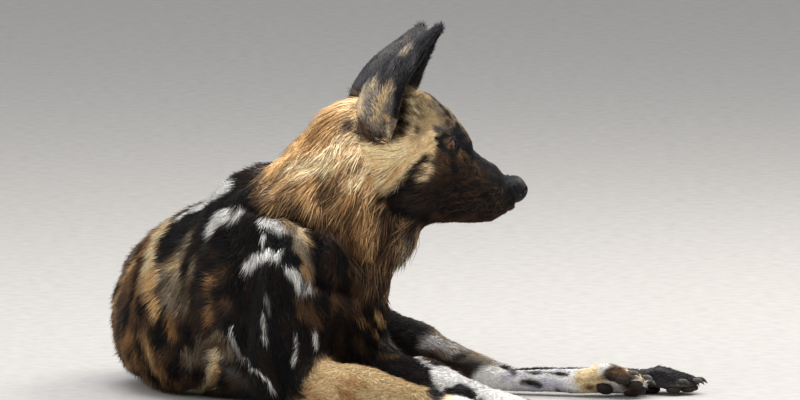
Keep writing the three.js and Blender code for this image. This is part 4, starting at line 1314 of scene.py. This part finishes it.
# The claw's steps run forward, rise and taper
claw = {"root": 3.0, "narrow": 0.75, "ahead": 5.5, "up": 3,
        "steps": [(3.0, 0.6, 0.94), (2.6, -0.4, 0.88), (2.2, -1.3, 0.78), (1.7, -1.7, 0.62),
                  (0.9, -1.3, 0.35)]}
pads = {"toe": (8.2, 6.6, 4.0), "sole": (9.0, 10.5, 4.4), "toeDrop": 6.2, "soleDrop": 8.8,
        "soleForward": 22.0}


def footFrame(foot):
    ball, tip = np.array(foot["ball"], float), np.array(foot["tip"], float)
    along = unit((tip - ball) * (1, 1, 0))
    c, s = math.cos(foot["roll"]), math.sin(foot["roll"])
    across = np.array([-along[1] * c, along[0] * c, -s])
    return ball, tip, along, across, np.cross(along, across)


def toeTips(foot):
    ball, tip, along, across, up = footFrame(foot)
    ends = []
    for i in range(4):
        offset = (i - 1.5) / 1.5
        root, end = ball + across * offset * foot["spread"] * 0.6, tip + across * offset * foot["spread"]
        ends.append(end + (root - end) * (0 if abs(offset) < 0.5 else 0.2))
    return ends


# A piece modelled once round the origin, x forward, is set down along three axes
def setDown(model, at, along, across, up, size=(1, 1, 1)):
    copy = model.copy()
    copy.data = model.data.copy()
    bpy.context.scene.collection.objects.link(copy)
    points = coords(model) * 1000 * np.array(size)
    points = np.array(at) + points[:, :1] * along + points[:, 1:2] * across + points[:, 2:] * up
    points[:, 2] = np.maximum(points[:, 2], 0.3)
    setCoords(copy, place(points))
    return copy


def joinAs(name, copies, material):
    bpy.ops.object.select_all(action="DESELECT")
    for copy in copies:
        copy.select_set(True)
    bpy.context.view_layer.objects.active = copies[0]
    bpy.ops.object.join()
    piece = copies[0]
    piece.name = name
    piece.data.materials.clear()
    piece.data.materials.append(material)
    bpy.ops.object.shade_smooth()
    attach(piece, "root")


# One claw: a short round stub drawn out step by step, then narrowed
def clawModel():
    bpy.ops.object.select_all(action="DESELECT")
    root = claw["root"] / 1000
    bpy.ops.mesh.primitive_cone_add(vertices=12, radius1=root, radius2=root, depth=0.004,
                                    rotation=(0, math.pi / 2, 0))
    model = newest()
    bpy.ops.object.mode_set(mode="EDIT")
    bpy.ops.mesh.select_mode(type="FACE")
    bpy.ops.mesh.select_all(action="DESELECT")
    mesh = bmesh.from_edit_mesh(model.data)
    for face in mesh.faces:
        face.select = face.normal.x > 0.9
    bmesh.update_edit_mesh(model.data)
    for run, rise, taper in claw["steps"]:
        bpy.ops.mesh.extrude_region_move(TRANSFORM_OT_translate={"value": (run / 1000, 0, rise / 1000)})
        bpy.ops.transform.resize(value=(taper, taper, taper))
    bpy.ops.mesh.select_all(action="SELECT")
    bpy.ops.transform.resize(value=(1, claw["narrow"], 1), center_override=(0, 0, 0))
    bpy.ops.object.mode_set(mode="OBJECT")
    smooth = model.modifiers.new("smooth", "SUBSURF")
    smooth.levels = smooth.render_levels = 2
    applyAll(model)
    return model


# One pad: a cushion, fuller at the back, squared off a little, most of all above and below
def padModel():
    bpy.ops.object.select_all(action="DESELECT")
    bpy.ops.mesh.primitive_uv_sphere_add(segments=32, ring_count=24, radius=0.001)
    model = bpy.context.active_object
    points = coords(model) * 1000
    taper = 1 - 0.18 * points[:, 0]
    points[:, 1] *= taper
    points = np.sign(points) * np.abs(points) ** np.array([0.9, 0.85, 0.8])
    setCoords(model, points / 1000)
    return model


def hornFinish(name, shine):
    material, tree, shader = finish(name, {"Roughness": 0.4, "Specular IOR Level": shine})
    spot = node(tree, "ShaderNodeTexCoord", output="Object")
    grain = node(tree, "ShaderNodeTexNoise", {}, {"Vector": spot, "Scale": 260.0, "Detail": 3.0})
    dark, pale = tuple(colours["horn"] * 0.5), tuple(colours["horn"] * 1.8)
    colour = node(tree, "ShaderNodeValToRGB", {"ramp": [(0.35, dark), (0.7, pale)]}, [grain])
    feed(tree, shader, Base_Color=colour)
    return material


print("claws and pads")
clawShape, padShape = clawModel(), padModel()
claws, padPieces, padSpots = [], [], []
for foot in feet.values():
    heel, _, along, across, up = footFrame(foot)
    for end in toeTips(foot):
        claws.append(setDown(clawShape, end + along * claw["ahead"] + up * claw["up"], along, across, up))
        padSpots.append((end - up * pads["toeDrop"] - along, along, across, up, np.array(pads["toe"])))
    sole = heel - up * pads["soleDrop"] + along * pads["soleForward"]
    padSpots.append((sole, along, across, up, np.array(pads["sole"])))
for at, along, across, up, size in padSpots:
    padPieces.append(setDown(padShape, at, along, across, up, size))
joinAs("claws", claws, hornFinish("claw_horn", 0.45))
joinAs("paw_pads", padPieces, leatherFinish("pad_leather", "brownBlack", 700.0, 0.0005,
                                             {"Roughness": 0.75, "Specular IOR Level": 0.3}))
bpy.data.objects.remove(clawShape)
bpy.data.objects.remove(padShape)
# Nor does any grow on the pads
for at, along, across, up, size in padSpots:
    offset = (skinModel - at) @ np.stack([along, across, up], -1) / (size + 0.5)
    bare[np.linalg.norm(offset, axis=1) < 1.0] = 0

# Whiskers: thin tapered hairs in rows on the upper lip
whiskers = {"from": [(118, 232), (111, 228), (103, 225), (115, 238), (107, 235), (98, 231), (110, 243),
                     (101, 240)],
            "length": 30, "thick": 0.2, "reach": (0.25, 0.8, -0.25), "sag": 6}


def growWhiskers():
    verts, faces = [], []
    sides, stations = 4, 7
    for side in (-1, 1):
        for x, z in whiskers["from"]:
            start, ray = place(fromHead((x, 0, z))), turnToHead @ np.array([0, side, 0])
            hit = skinSurface[1].ray_cast(Vector(start), Vector(ray))[0]
            if hit is None:
                continue
            root = toHead(unplace(np.array(hit)))
            aim = unit(np.array(whiskers["reach"]) * (-1, side, 1) + rng.normal(0, 0.12, 3))
            length = whiskers["length"] * rng.uniform(0.75, 1.2)
            a = unit(np.cross(aim, (0, 0, 1.0)))
            b = np.cross(aim, a)
            base = len(verts)
            for k in range(stations):
                t = k / (stations - 1)
                at = root - aim * 1.5 + aim * length * t - np.array([0.4, 0, 1.0]) * whiskers["sag"] * t * t
                r = whiskers["thick"] * (1 - 0.85 * t)
                for j in range(sides):
                    angle = j * 2 * math.pi / sides
                    verts.append(at + a * r * math.cos(angle) + b * r * math.sin(angle))
            for k in range(stations - 1):
                for j in range(sides):
                    p, q = base + k * sides + j, base + k * sides + (j + 1) % sides
                    faces += [(p, q, q + sides), (p, q + sides, p + sides)]
            for end in (base, base + (stations - 1) * sides):
                faces += [(end, end + 1, end + 2), (end, end + 2, end + 3)]
    piece = meshObject("whiskers", place(fromHead(np.array(verts))), faces)
    editAll(piece)
    bpy.ops.mesh.normals_make_consistent(inside=False)
    bpy.ops.object.mode_set(mode="OBJECT")
    piece.data.materials.append(hornFinish("whisker_hair", 0.1))
    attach(piece, "root")


print("whiskers")
growWhiskers()

print("coat")
growCoat("coat_head", regionShare("head") * bare, clump=4.0, gather=0.2, speckle=0.55)
growCoat("coat_ears", regionShare("ear"), clump=4.0, gather=0.2, speckle=0.8)
growCoat("coat_body", regionShare("body", "upper"), clump=7.0, gather=0.16)
growCoat("coat_legs", regionShare("lower", "foot") * bare, clump=5.0, gather=0.2)
growCoat("ruff", regionShare("neck"), bent=True, clump=12.0, gather=0.14)
growCoat("tail_brush", regionShare("tail"), bent=True, clump=12.0, gather=0.35)

print("sizes")
